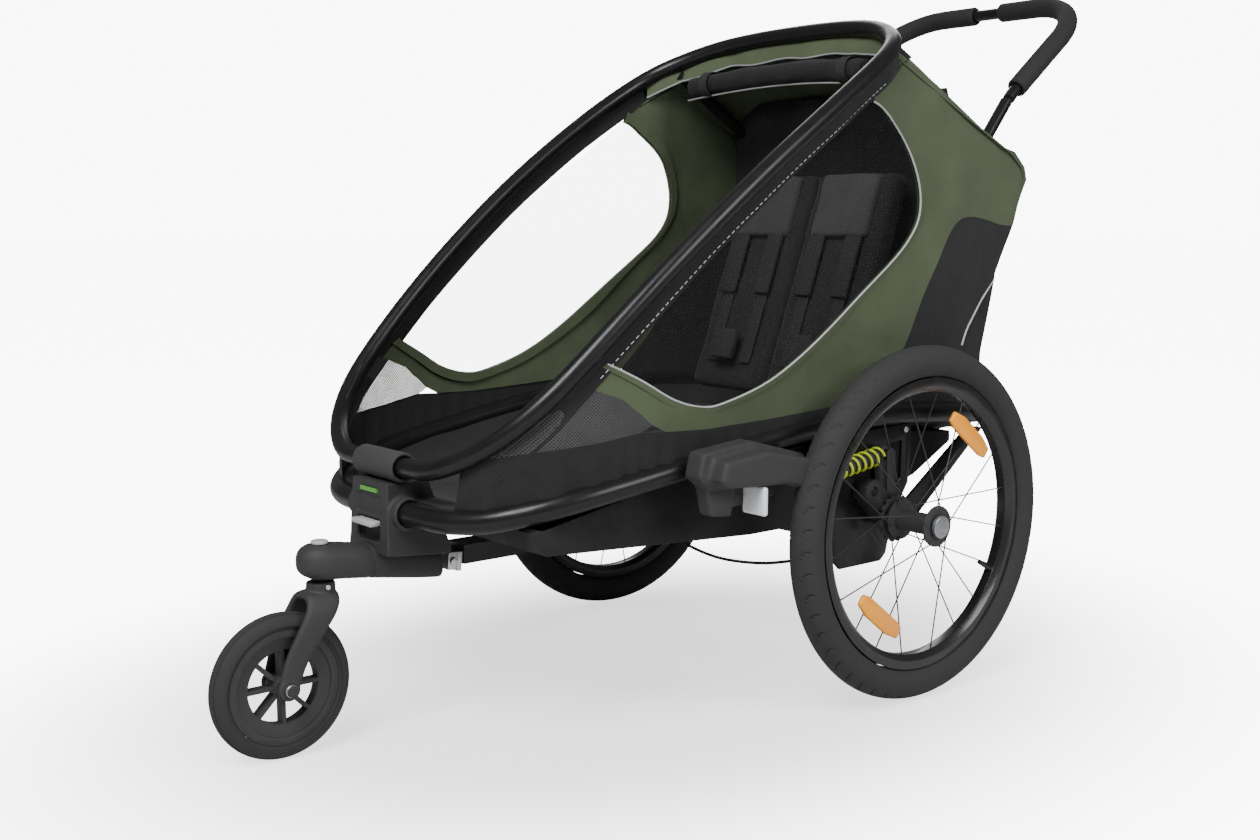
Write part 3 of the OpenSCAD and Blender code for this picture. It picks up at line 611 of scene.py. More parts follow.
TUBE_PAINT = Finish("tube_paint", "frame_tube", (0.008, 0.008, 0.009), 0.34, coat=0.1, shine=0.24,
                    grain=900, depth=0.00006)
PLASTIC = Finish("moulded_plastic", "moulded_plastic", (0.007, 0.007, 0.0074), 0.38, shine=0.19,
                 grain=1500, depth=0.00012)
ARM_METAL = Finish("swing_arm_metal", "swing_arm_metal", (0.03, 0.031, 0.033), 0.42, metallic=0.6,
                   grain=900)
MARKER_GREEN = Finish("marker_green", "green_marker", (0.10, 0.34, 0.05), 0.5, grain=700)
SLEEVE_RUBBER = Finish("sleeve_rubber", "sleeve_rubber", (0.02, 0.02, 0.02), 0.62, grain=900)
GREY_BUTTON = Finish("grey_button", "grey_button", (0.42, 0.43, 0.43), 0.45, grain=1200, mottle=0.05)
GRIP_FOAM = Finish("grip_foam", "grip_foam", (0.018, 0.018, 0.019), 0.82, sheen=0.25, grain=1400,
                   depth=0.0005)
SPRING_PAINT = Finish("spring_paint", "spring_steel", (0.52, 0.62, 0.03), 0.32, coat=0.4, grain=500,
                      mottle=0.05)
CLEAR_PLASTIC = Finish("clear_reflector", "clear_reflector", (0.62, 0.65, 0.67), 0.14, metallic=0.35,
                       coat=1.0, pattern=Pattern.RIBS, mottle=0.08)
RED_PLASTIC = Finish("red_reflector", "red_reflector", (0.5, 0.012, 0.01), 0.18, coat=0.8,
                     pattern=Pattern.RIBS)
# The orange reflectors emit light: painted light standing in for the light they send back.
ORANGE_PLASTIC = Finish("orange_reflector", "orange_reflector", (1.0, 0.24, 0.0), 0.3, coat=0.25, glow=0.45,
                        pattern=Pattern.RIBS, mottle=0.1)
TYRE_RUBBER = Finish("tyre_rubber", "tyre_rubber", (0.013, 0.013, 0.0138), 0.52, shine=0.24, grain=700,
                     depth=0.0003)
RIM_PAINT = Finish("rim_paint", "rim_metal", (0.017, 0.017, 0.018), 0.3, metallic=0.3, coat=0.3,
                   grain=700)
SPOKE_STEEL = Finish("spoke_steel", "spoke_steel", (0.012, 0.012, 0.013), 0.35, grain=800)
HUB_CAP = Finish("hub_cap", "hub_cap", (0.36, 0.37, 0.38), 0.34, metallic=0.85, pattern=Pattern.BRUSHED)
BRIGHT_METAL = Finish("bright_metal", "bright_metal", (0.6, 0.61, 0.62), 0.28, metallic=0.95, grain=500)
CABLE_JACKET = Finish("cable_jacket", "cable_jacket", (0.012, 0.012, 0.012), 0.4, grain=600)
BLACK_CLOTH = Finish("black_cloth", "tub_fabric", (0.012, 0.012, 0.013), 0.85, sheen=0.08, shine=0.25,
                     pattern=Pattern.WEAVE_SIDE, depth=0.0001)
SEAT_CLOTH = Finish("seat_cloth", "seat_fabric", (0.016, 0.016, 0.017), 0.88, sheen=0.08, shine=0.2,
                    pattern=Pattern.WEAVE_TOP, depth=0.00008)
HEADREST_CLOTH = Finish("headrest_cloth", "seat_fabric", (0.045, 0.045, 0.047), 0.88, sheen=0.1, shine=0.2,
                        pattern=Pattern.WEAVE_TOP, depth=0.00008)
WEBBING = Finish("webbing", "webbing", (0.02, 0.02, 0.021), 0.7, sheen=0.05,
                 pattern=Pattern.WEAVE_SIDE, threads=160)
GREEN_CLOTH = Finish("green_cloth", "cover_fabric", (0.066, 0.084, 0.046), 0.8, sheen=0.06, shine=0.2,
                     pattern=Pattern.WEAVE_SIDE, depth=0.0001, mottle=0.1)
GREEN_ROOF = Finish("green_roof", "cover_fabric", (0.066, 0.084, 0.046), 0.8, sheen=0.06, shine=0.2,
                    pattern=Pattern.WEAVE_TOP, depth=0.0001, mottle=0.1)
NET_CLOTH = Finish("net_cloth", "cover_fabric", (0.05, 0.05, 0.051), 0.8, pattern=Pattern.NET)
WINDOW_FILM = Finish("window_film", "cover_foil", (0.02, 0.0205, 0.021), 0.35, shine=0.06, grain=9,
                     depth=0.001, clear=0.86, mottle=0.05)
PIPING = Finish("reflective_piping", "cover_fabric", (0.40, 0.40, 0.40), 0.5, sheen=0.2, grain=700,
                mottle=0.05)
GREY_PIPING = Finish("grey_piping", "cover_fabric", (0.25, 0.255, 0.26), 0.6, grain=700, mottle=0.05)
THREAD = Finish("stitch_thread", "cover_fabric", (0.55, 0.55, 0.54), 0.7, grain=900, mottle=0.05)


# ---- the frame ----------------------------------------------------------------------------


@dataclass
class Frame:
    """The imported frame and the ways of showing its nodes."""

    nodes: dict[str, Object]

    def copy_of(self, node: str) -> Object:
        """A merged copy of a node, riding on nothing yet."""
        source = self.nodes[node]
        obj = bpy.data.objects.new(f"{node}_shown", source.data.copy())
        bpy.context.scene.collection.objects.link(obj)
        return edited(obj, merge_doubles)

    def stands_for(self, obj: Object, node: str, finish: Finish) -> Object:
        """Shows a finished piece in place of a node, on the same body."""
        finish.on(obj)
        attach(obj, self.nodes[node]["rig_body"])
        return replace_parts(obj, node)

    def plain(self, node: str, finish: Finish) -> Object:
        """Shows a node as it is, in a finish."""
        return finish.on(self.nodes[node])

    def crisp(self, node: str, finish: Finish, edge: float) -> Object:
        """Shows a node with its edges rounded by an edge width."""
        obj = edited(self.copy_of(node),
                     lambda: bpy.ops.mesh.dissolve_limited(angle_limit=math.radians(2)))
        return self.stands_for(rounded(obj, edge, 2), node, finish)

    def soft(self, node: str, finish: Finish, levels: int = 1) -> Object:
        """Shows a node with its facets smoothed over."""
        obj = edited(self.copy_of(node), bpy.ops.mesh.tris_convert_to_quads)
        modified(obj, "SUBSURF", levels=levels, render_levels=levels)
        return self.stands_for(smoothed(obj, 50), node, finish)

    def moulded(self, node: str, finish: Finish, grain: float, passes: int) -> Object:
        """Shows a node as a moulding with large soft edges.

        Args:
            node: The node.
            finish: Its finish.
            grain: Size of the cells that it is rebuilt from.
            passes: How often the shape is smoothed.

        Returns:
            The piece shown.
        """
        obj = modified(self.copy_of(node), "REMESH", mode="VOXEL", voxel_size=grain)
        modified(obj, "SMOOTH", factor=0.6, iterations=passes)
        return self.stands_for(smoothed(obj, 180), node, finish)


# ---- studio -------------------------------------------------------------------------------


@dataclass
class Studio:
    """Pale floor with a painted shadow, soft lights and the camera."""

    seen_white: float = 11.6
    sky_light: float = 0.17
    floor_glow: float = 9.0
    # Painted shadow: the floor's brightness near the trailer, lower than far out.
    near_glow: float = 1.5
    shadow_r: float = 0.45
    floor_r: float = 60.0
    lens: float = 41.776
    camera_place: Point3 = (1.646, -1.435, 0.672)
    camera_turn: Point3 = (82.196, 0.0, 50.668)

    def sky(self) -> bpy.types.World:
        """A sky that is white to look at and dimmer as a light."""
        world = bpy.data.worlds.new("studio_sky")
        world.use_nodes = True
        tree = world.node_tree
        light = tree.nodes["Background"]
        light.inputs["Color"].default_value = (1, 1, 1, 1)
        light.inputs["Strength"].default_value = self.sky_light
        white = tree.nodes.new("ShaderNodeBackground")
        white.inputs["Strength"].default_value = self.seen_white
        path = tree.nodes.new("ShaderNodeLightPath")
        mix = tree.nodes.new("ShaderNodeMixShader")
        tree.links.new(path.outputs["Is Camera Ray"], mix.inputs[0])
        tree.links.new(light.outputs[0], mix.inputs[1])
        tree.links.new(white.outputs[0], mix.inputs[2])
        tree.links.new(mix.outputs[0], tree.nodes["World Output"].inputs["Surface"])
        return world

    def floor_material(self) -> bpy.types.Material:
        """A pale floor that glows a little to the camera, so that only shadows show on it, and glows less
        near the trailer as a painted shadow.
        """
        shader = Shader("studio_floor")
        shader.main.inputs["Base Color"].default_value = (0.7, 0.7, 0.7, 1)
        shader.main.inputs["Roughness"].default_value = 0.9
        shader.bump([(shader.noise(40), 0.0002)])
        path = shader.add("ShaderNodeLightPath")
        mapping = shader.add("ShaderNodeMapping")
        mapping.inputs["Location"].default_value = (0.0, 0.08, 0.0)
        mapping.inputs["Scale"].default_value = (1.35, 1.0, 1.0)
        shader.link(shader.place, mapping.inputs["Vector"])
        away = shader.add("ShaderNodeVectorMath", operation="LENGTH")
        shader.link(mapping.outputs["Vector"], away.inputs[0])
        # Painted shadow: the floor's emission is dimmed inside shadow_r and rises to full brightness by three
        # times that distance.
        rise = shader.add("ShaderNodeMapRange", interpolation_type="SMOOTHSTEP")
        rise.inputs["From Min"].default_value = self.shadow_r
        rise.inputs["From Max"].default_value = self.shadow_r * 3
        rise.inputs["To Min"].default_value = self.near_glow
        rise.inputs["To Max"].default_value = self.floor_glow
        shader.link(away.outputs["Value"], rise.inputs["Value"])
        glow = shader.add("ShaderNodeMath", operation="MULTIPLY")
        shader.link(rise.outputs["Result"], glow.inputs[1])
        shader.link(path.outputs["Is Camera Ray"], glow.inputs[0])
        shader.main.inputs["Emission Color"].default_value = (1, 1, 1, 1)
        shader.link(glow.outputs[0], shader.main.inputs["Emission Strength"])
        return shader.material

    def build(self) -> None:
        """Makes the floor, the lights, the sky and the camera."""
        bpy.ops.mesh.primitive_circle_add(vertices=96, radius=self.floor_r, fill_type="NGON")
        floor = settled(bpy.context.object, "studio_floor")
        floor.data.materials.append(self.floor_material())
        lights = (("key", (1.2, -2.4, 3.2), 1.7, 185.0), ("side", (3.6, 0.6, 2.2), 1.6, 85.0),
                  ("back", (-2.2, 2.6, 2.6), 2.2, 55.0))
        for name, where, size, power in lights:
            lamp = bpy.data.lights.new(f"light_{name}", "AREA")
            lamp.energy = power
            lamp.size = size
            obj = bpy.data.objects.new(lamp.name, lamp)
            obj.location = where
            obj.rotation_euler = (Vector((0, 0, 0.4)) - Vector(where)).to_track_quat("-Z", "Y").to_euler()
            bpy.context.scene.collection.objects.link(obj)
        bpy.context.scene.world = self.sky()
        lens = bpy.data.cameras.new("camera")
        lens.lens = self.lens
        lens.sensor_width = 36.0
        camera = bpy.data.objects.new("camera", lens)
        camera.location = self.camera_place
        camera.rotation_euler = tuple(math.radians(a) for a in self.camera_turn)
        bpy.context.scene.collection.objects.link(camera)
        bpy.context.scene.camera = camera


# ---- hard parts ---------------------------------------------------------------------------


@dataclass
class Tubing:
    """Frame tubes and the hard pieces fixed to them."""

    frame: Frame

    def build(self) -> None:
        """Dresses every tube, bracket and button of the frame."""
        for node in ("lower_frame", "upper_hoop"):
            self.frame.soft(node, TUBE_PAINT)
        for node in ("hoop_rear_arm_left", "hoop_rear_arm_right", "rear_bracket_left",
                     "rear_bracket_right"):
            self.frame.crisp(node, TUBE_PAINT, 0.0012)
        for node in ("back_frame", "push_bar", "centre_beam", "rear_axle_beam"):
            smoothed(self.frame.plain(node, TUBE_PAINT))
        for node in ("grip_left", "grip_right"):
            self.frame.crisp(node, GRIP_FOAM, 0.004)
        for node in ("bar_button_left", "bar_button_right"):
            self.frame.crisp(node, GREY_BUTTON, 0.001)
        self.frame.crisp("rear_reflectors", RED_PLASTIC, 0.0015)


@dataclass
class FrontBlock:
    """The moulded block that joins the two frame rings and the stroller arm."""

    frame: Frame

    def build(self) -> None:
        """Dresses the block, its marker, sleeve, tab and clamp."""
        self.frame.moulded("front_connector", PLASTIC, 0.0016, 3)
        self.frame.plain("connector_marker", MARKER_GREEN)
        self.frame.crisp("hoop_sleeve", SLEEVE_RUBBER, 0.003)
        self.frame.crisp("release_button", GREY_BUTTON, 0.0018)
        self.frame.crisp("arm_bracket", BRIGHT_METAL, 0.0012)


def bulged(turn: float, power: float) -> Point2:
    """Cosine and sine of a turn, pushed towards a rounded rectangle by a power under 1."""
    across, up = math.cos(turn), math.sin(turn)
    return math.copysign(abs(across) ** power, across), math.copysign(abs(up) ** power, up)


def lofted(name: str, rings: Sequence[Sequence[Point3]]) -> Object:
    """A closed skin over rings of points, with flat ends."""
    count = len(rings[0])
    points = [p for ring in rings for p in ring]
    faces = [(i * count + k, i * count + (k + 1) % count, (i + 1) * count + (k + 1) % count,
              (i + 1) * count + k) for i in range(len(rings) - 1) for k in range(count)]
    faces += [tuple(range(count)), tuple(range(len(points) - count, len(points)))]
    return smoothed(edited(new_mesh(name, points, faces), merge_doubles, face_outwards), 50)


@dataclass
class StrollerFront:
    """Stroller arm, fork and front wheel."""

    frame: Frame
    pin_y: float = -0.750
    axle: Point2 = (-0.809, 0.094)
    nose: float = 0.030
    seam: Point2 = (0.0631, 0.0649)
    seam_depth: float = 0.0012

    def build(self) -> None:
        """Dresses the arm, the fork and the wheel."""
        self.arm()
        self.frame.crisp("swivel_lock_button", GREY_BUTTON, 0.0012)
        self.fork()
        self.dish()
        self.frame.crisp("fork_bolts", BRIGHT_METAL, 0.0012)
        self.frame.crisp("caster_rim", PLASTIC, 0.0012)
        self.frame.plain("caster_axle", BRIGHT_METAL)
        self.tyre()

    def arm_section(self, t: float) -> list[Point3]:
        """One ring of the arm.

        Args:
            t: Distance behind the swivel pin.

        Returns:
            The ring's points.
        """
        front = math.sqrt(max(0.0, 1 - (min(t, 0) / (self.nose + 0.0002)) ** 2))
        end = 1 - 0.14 * smooth_step(0.1660, 0.1687, t)
        groove = self.seam_depth if self.seam[0] < t < self.seam[1] else 0.0
        wide = lerp(0.0300, 0.0250, smooth_step(0.0, 0.12, t)) * front * end - groove
        high = lerp(0.0232, 0.0206, smooth_step(0.0, 0.15, t)) * front ** 0.8 * end - groove
        middle = 0.2450 - 0.0270 * smooth_step(-0.02, 0.20, t)
        ring = []
        for k in range(40):
            across, up = bulged(math.tau * k / 40, 0.72)
            ring.append(place(wide * across, t + self.pin_y, middle + high * up))
        return ring

    def arm(self) -> None:
        """Rounded arm from its domed nose to the clamp, with a seam and the button's pocket."""
        stations = [-self.nose + self.nose * (1 - math.cos(math.pi / 2 * i / 12)) for i in range(12)]
        stations += [lerp(0.0, 0.0625, i / 12) for i in range(12)] + [0.0632, 0.0640, 0.0648]
        stations += [lerp(0.0655, 0.1665, i / 20) for i in range(21)] + [0.1680, 0.1686]
        arm = lofted("rounded_arm", [self.arm_section(t) for t in stations])
        pocket = disc("button_pocket", 0.0114, 0.0118, place(0, self.pin_y, 0.2691), Axis.Z, 0.0004)
        modified(arm, "BOOLEAN", operation="DIFFERENCE", object=pocket, solver="EXACT")
        bpy.data.objects.remove(pocket)
        self.frame.stands_for(arm, "stroller_arm", PLASTIC)

    def fork_arch(self) -> Object:
        """Flat band that runs up one leg, over the wheel and down the other leg."""
        path = ((0.0225, *self.axle), (0.0232, -0.796, 0.130), (0.0256, -0.776, 0.164),
                (0.0246, -0.762, 0.186), (0.0168, -0.756, 0.2000), (0.0, -0.754, 0.2040))
        half = spline(path, 8)
        line = [*half, *[(-x, y, z) for x, y, z in reversed(half[:-1])]]
        rings = []
        for i, (x, y, z) in enumerate(line):
            before, after = line[max(i - 1, 0)], line[min(i + 1, len(line) - 1)]
            along = Vector((after[0] - before[0], 0, after[2] - before[2])).normalized()
            across = Vector((along.z, 0, -along.x))
            rise = smooth_step(self.axle[1], 0.20, z)
            thick, wide = lerp(0.0044, 0.0064, rise), lerp(0.0145, 0.0225, rise)
            ring = []
            for k in range(24):
                out, depth = bulged(math.tau * k / 24, 0.6)
                ring.append(place(x + across.x * (thick * out), y + wide * depth,
                                  z + across.z * (thick * out)))
            rings.append(ring)
        return lofted("fork_arch", rings)

    def fork(self) -> None:
        """Fork with its rounded arch, collar and axle bosses, and a dark nut on each side."""
        parts = [self.fork_arch(),
                 disc("fork_collar", 0.0185, 0.018, place(0, self.pin_y, 0.2100), Axis.Z, 0.002),
                 *[disc("fork_boss", 0.0145, 0.0095, place(side * 0.0228, *self.axle), Axis.X, 0.002)
                   for side in (-1, 1)]]
        fork = modified(joined("rounded_fork", parts), "REMESH", mode="VOXEL", voxel_size=0.0014)
        modified(fork, "SMOOTH", factor=0.6, iterations=5)
        self.frame.stands_for(smoothed(fork, 180), "fork", PLASTIC)
        for side in Side:
            centre = place(side.value * 0.0318, *self.axle)
            nut = disc(f"axle_nut_{side.word}", 0.0074, 0.0046, centre, Axis.X, 0.001)
            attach(SPOKE_STEEL.on(nut), "fork")

    def dish(self) -> None:
        """Deep dished ring inside the front rim."""
        half = ((0.0728, 0.0125), (0.0700, 0.0128), (0.0520, 0.0085), (0.0478, 0.0080))
        profile = [*[(r, -x) for r, x in half], (0.0470, 0.0), *reversed(half)]
        ring = turned("front_rim_dish", profile, place(0, *self.axle), 96)
        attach(PLASTIC.on(ring), "front_wheel")

    def tyre(self) -> None:
        """Front tyre with grooves round its tread."""
        low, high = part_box("caster_tyre")
        radius = (high.z - low.z) / 2
        half = (high.x - low.x) / 2
        centre = (0, (low.y + high.y) / 2, (low.z + high.z) / 2)
        bed = radius - 0.0195
        profile = [(bed, -half + 0.003), (bed + 0.006, -half + 0.001)]
        for i in range(49):
            turn = math.radians(lerp(-88, 88, i / 48))
            groove = 0.0012 if i in (16, 17, 24, 31, 32) else 0
            profile.append((radius - half + (half - groove) * math.cos(turn),
                            (half - groove) * math.sin(turn)))
        profile += [(bed + 0.006, half - 0.001), (bed, half - 0.003)]
        self.frame.stands_for(turned("front_tyre", profile, centre, 128), "caster_tyre", TYRE_RUBBER)


@dataclass
class RearWheel:
    """One 20 inch wheel with its tyre, rim, hub and reflectors."""

    frame: Frame
    side: Side
    cuts: int = 52
    tyre_half: float = 0.0228

    def build(self) -> None:
        """Dresses the wheel."""
        word = self.side.word
        self.tyre()
        self.frame.crisp(f"rim_{word}", RIM_PAINT, 0.001)
        smoothed(self.frame.plain(f"spokes_{word}", SPOKE_STEEL))
        self.frame.crisp(f"hub_{word}", PLASTIC, 0.0008)
        self.frame.crisp(f"wheel_reflectors_{word}", ORANGE_PLASTIC, 0.0022)
        self.cap()

    def centre(self, out: float = 0.0) -> Point3:
        """The middle of the wheel, moved outwards along its axle."""
        return place(self.side.value * (WHEEL_X + out), 0, WHEEL_R)

    def tyre(self) -> None:
        """Tyre with short cuts along both shoulders and rings on the side walls."""
        around = self.cuts * 20
        across = 44
        middle = WHEEL_R - self.tyre_half
        turns = [lerp(-152, 152, k / across) for k in range(across + 1)]
        profile = []
        for turn in turns:
            ring = 0.0006 if 84 < abs(turn) < 88 or 112 < abs(turn) < 116 else 0.0
            r = self.tyre_half - ring
            profile.append((middle + r * math.cos(math.radians(turn)), r * math.sin(math.radians(turn))))

        def dent(angle: float, k: int) -> float:
            """Depth of the tread at a turn and a place of the profile."""
            turn = turns[k]
            if not 14 < abs(turn) < 62:
                return 0.0
            share = (angle / math.tau * self.cuts + 0.9 * math.sin(math.radians(abs(turn) * 2))
                     + (0.5 if turn < 0 else 0)) % 1
            fade = smooth_step(14, 24, abs(turn)) * (1 - smooth_step(50, 62, abs(turn)))
            return 0.0024 * fade if share < 0.13 else 0.0

        tyre = turned(f"tyre_tread_{self.side.word}", profile, self.centre(), around, dent)
        self.frame.stands_for(tyre, f"tyre_{self.side.word}", TYRE_RUBBER)

    def cap(self) -> None:
        """Domed hub cap with a turned face."""
        node = f"hub_button_{self.side.word}"
        low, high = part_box(node)
        radius = (high.z - low.z) / 2
        profile = [(0.0004, -0.003), (radius, -0.003), (radius, 0.0012), (radius - 0.0015, 0.0026),
                   (radius * 0.62, 0.003), (radius * 0.58, 0.0022), (radius * 0.3, 0.0024), (0.0004, 0.0028)]
        facing = [(r, x * self.side.value) for r, x in profile]
        centre = ((low.x + high.x) / 2, (low.y + high.y) / 2, (low.z + high.z) / 2)
        self.frame.stands_for(turned(f"hub_cap_{self.side.word}", facing, centre, 64), node, HUB_CAP)


@dataclass
class Suspension:
    """Plate, swing arm, spring, damper and guard of one side."""

    frame: Frame
    side: Side

    def build(self) -> None:
        """Dresses one side's suspension."""
        word = self.side.word
        self.frame.crisp(f"suspension_plate_{word}", TUBE_PAINT, 0.0016)
        self.frame.crisp(f"swing_arm_{word}", ARM_METAL, 0.0016)
        self.guard()
        for node, finish in ((f"suspension_spring_{word}", SPRING_PAINT), (f"damper_{word}", PLASTIC)):
            piece = self.frame.soft(node, finish)
            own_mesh(piece)
        self.bolts()

    def guard(self) -> None:
        """Moulded guard in front of the wheel, with its clear reflector in a recess."""
        blocks = (
            (0.287, 0.318, ((-0.392, 0.352), (-0.384, 0.384), (-0.300, 0.392), (-0.205, 0.366),
                            (-0.205, 0.345), (-0.300, 0.338), (-0.375, 0.338))),
            (0.312, 0.345, ((-0.378, 0.350), (-0.370, 0.374), (-0.296, 0.382), (-0.204, 0.360),
                            (-0.196, 0.338), (-0.222, 0.322), (-0.252, 0.334), (-0.366, 0.340))),
            (0.287, 0.312, ((-0.376, 0.345), (-0.366, 0.300), (-0.330, 0.296), (-0.318, 0.345))),
            (0.287, 0.306, ((-0.330, 0.345), (-0.325, 0.306), (-0.250, 0.312), (-0.235, 0.345))))
        parts = []
        for inner, outer, outline in blocks:
            count = len(outline)
            points = [place(self.side.value * x, y, z) for x in (inner, outer) for y, z in outline]
            faces = [tuple(range(count)), tuple(range(count, 2 * count)),
                     *[(i, (i + 1) % count, count + (i + 1) % count, count + i) for i in range(count)]]
            parts.append(edited(new_mesh("guard_block", points, faces), face_outwards))
        guard = modified(joined(f"guard_{self.side.word}", parts), "REMESH", mode="VOXEL",
                         voxel_size=0.0022)
        modified(guard, "SMOOTH", factor=0.6, iterations=14)
        self.frame.stands_for(smoothed(guard, 180), f"wheel_guard_{self.side.word}", PLASTIC)
        lens = box(f"clear_lens_{self.side.word}", (0.042, 0.009, 0.038),
                   place(self.side.value * 0.324, -0.3015, 0.3165), 0.004)
        self.frame.stands_for(lens, f"front_reflector_{self.side.word}", CLEAR_PLASTIC)

    def bolts(self) -> None:
        """Bolt heads on the plate."""
        for i, (y, z) in enumerate(((-0.112, 0.326), (-0.040, 0.292), (-0.100, 0.366), (0.052, 0.370))):
            centre = place(self.side.value * 0.2725, y, z)
            head = disc(f"plate_bolt_{self.side.word}_{i}", 0.005, 0.004, centre, Axis.X, 0.001, 6)
            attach(BRIGHT_METAL.on(head), "chassis")


@dataclass
class Brake:
    """Foot pedal and its cable."""

    frame: Frame

    def build(self) -> None:
        """Dresses the pedal and the cable."""
        self.frame.crisp("brake_pedal", PLASTIC, 0.0015)
        self.frame.soft("brake_cable", CABLE_JACKET)


# ---- covers -------------------------------------------------------------------------------


@dataclass(frozen=True)
class HoopLine:
    """Centre line of the upper hoop: a leaning, bowed ring."""

    foot: Point2 = (-0.655, 0.360)
    top: Point2 = (0.102, 0.960)
    bow: float = 0.040
    widths: tuple[Point2, ...] = (
        (0.0, 0.0), (0.001, 0.060), (0.008, 0.120), (0.058, 0.189), (0.150, 0.236), (0.328, 0.262),
        (0.531, 0.277), (0.715, 0.281), (0.845, 0.268), (0.910, 0.225), (0.954, 0.141), (0.966, 0.0))

    @property
    def length(self) -> float:
        """Straight distance from foot to top."""
        return math.dist(self.foot, self.top)

    @property
    def behind(self) -> Point2:
        """Direction square to the hoop, back and down."""
        dy, dz = self.top[0] - self.foot[0], self.top[1] - self.foot[1]
        return (dz / self.length, -dy / self.length)

    def at(self, along: float, back: float = 0.0) -> Point2:
        """The (y, z) at a distance along the hoop and back from it."""
        bow = self.bow * math.sin(math.pi * along / self.length) - back
        dy, dz = self.top[0] - self.foot[0], self.top[1] - self.foot[1]
        share = along / self.length
        return (self.foot[0] + dy * share - self.behind[0] * bow,
                self.foot[1] + dz * share - self.behind[1] * bow)

    def half_width(self, along: float) -> float:
        """Half the hoop's width at a distance along it."""
        return table_value(self.widths, along)

    def along_at(self, half_width: float) -> float:
        """Distance along at which the upper part of the hoop is that wide."""
        upper = sorted((w, a) for a, w in self.widths if a >= 0.715)
        return table_value(upper, half_width)


HOOP = HoopLine()


def folding(obj: Object) -> Object:
    """Puts a piece of the cover on the chassis body, with a mesh of its own."""
    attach(obj, "chassis")
    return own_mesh(obj)


@dataclass(frozen=True)
class SideSurface:
    """Where the cloth of one side lies."""

    side: Side
    low_x: tuple[Point2, ...] = (
        (-0.650, 0.120), (-0.621, 0.182), (-0.569, 0.228), (-0.490, 0.256), (-0.385, 0.270),
        (-0.235, 0.275), (0.150, 0.273), (0.220, 0.264), (0.340, 0.258))
    high_x: tuple[Point2, ...] = (
        (-0.650, 0.110), (-0.610, 0.187), (-0.550, 0.230), (-0.420, 0.257), (-0.260, 0.273),
        (-0.115, 0.277), (0.000, 0.266), (0.045, 0.247), (0.120, 0.254), (0.340, 0.258))
    low_z: tuple[Point2, ...] = (
        (-0.655, 0.302), (-0.569, 0.320), (-0.490, 0.338), (-0.385, 0.356), (-0.235, 0.380),
        (-0.100, 0.391), (0.020, 0.396), (0.150, 0.388), (0.264, 0.377))
    high_z: tuple[Point2, ...] = (
        (-0.650, 0.370), (-0.585, 0.432), (-0.440, 0.572), (-0.290, 0.696), (-0.150, 0.806),
        (0.000, 0.897), (0.045, 0.907), (0.225, 0.808), (0.308, 0.775))
    billow: float = 0.006

    def out(self, y: float, z: float) -> float:
        """How far out from the middle the cloth lies."""
        low, high = table_value(self.low_z, y), table_value(self.high_z, y)
        share = min(1.0, max(0.0, (z - low) / max(high - low, 0.02)))
        bend = share ** lerp(1.0, 3.0, smooth_step(-0.2, 0.05, y))
        flat = lerp(table_value(self.low_x, y), table_value(self.high_x, y), bend)
        return flat + self.billow * math.sin(math.pi * share)

    def laid(self, lift: float = 0.0, wrinkle: float = 0.0, folds: float = 0.0) -> Surface:
        """A surface a small way out from the cloth.

        Args:
            lift: How far out it lies.
            wrinkle: Height of its wrinkles.
            folds: Height of upright folds, fading upwards.

        Returns:
            A function from (y, z) to the frame.
        """
        def surface(y: float, z: float) -> Point3:
            """The point of the cloth at (y, z)."""
            seed = self.side.value * 7.0
            rough = noise.noise(Vector((y * 7 + seed, z * 11, 0.3)))
            rough += 0.5 * noise.noise(Vector((y * 19, z * 15, seed)))
            drift = 4 * noise.noise(Vector((y * 9, seed, 0)))
            gather = math.sin(y * 190 + drift) * smooth_step(0.42, 0.35, z)
            x = self.out(y, z) + lift + wrinkle * rough + folds * gather
            return place(self.side.value * x, y, z)

        return surface


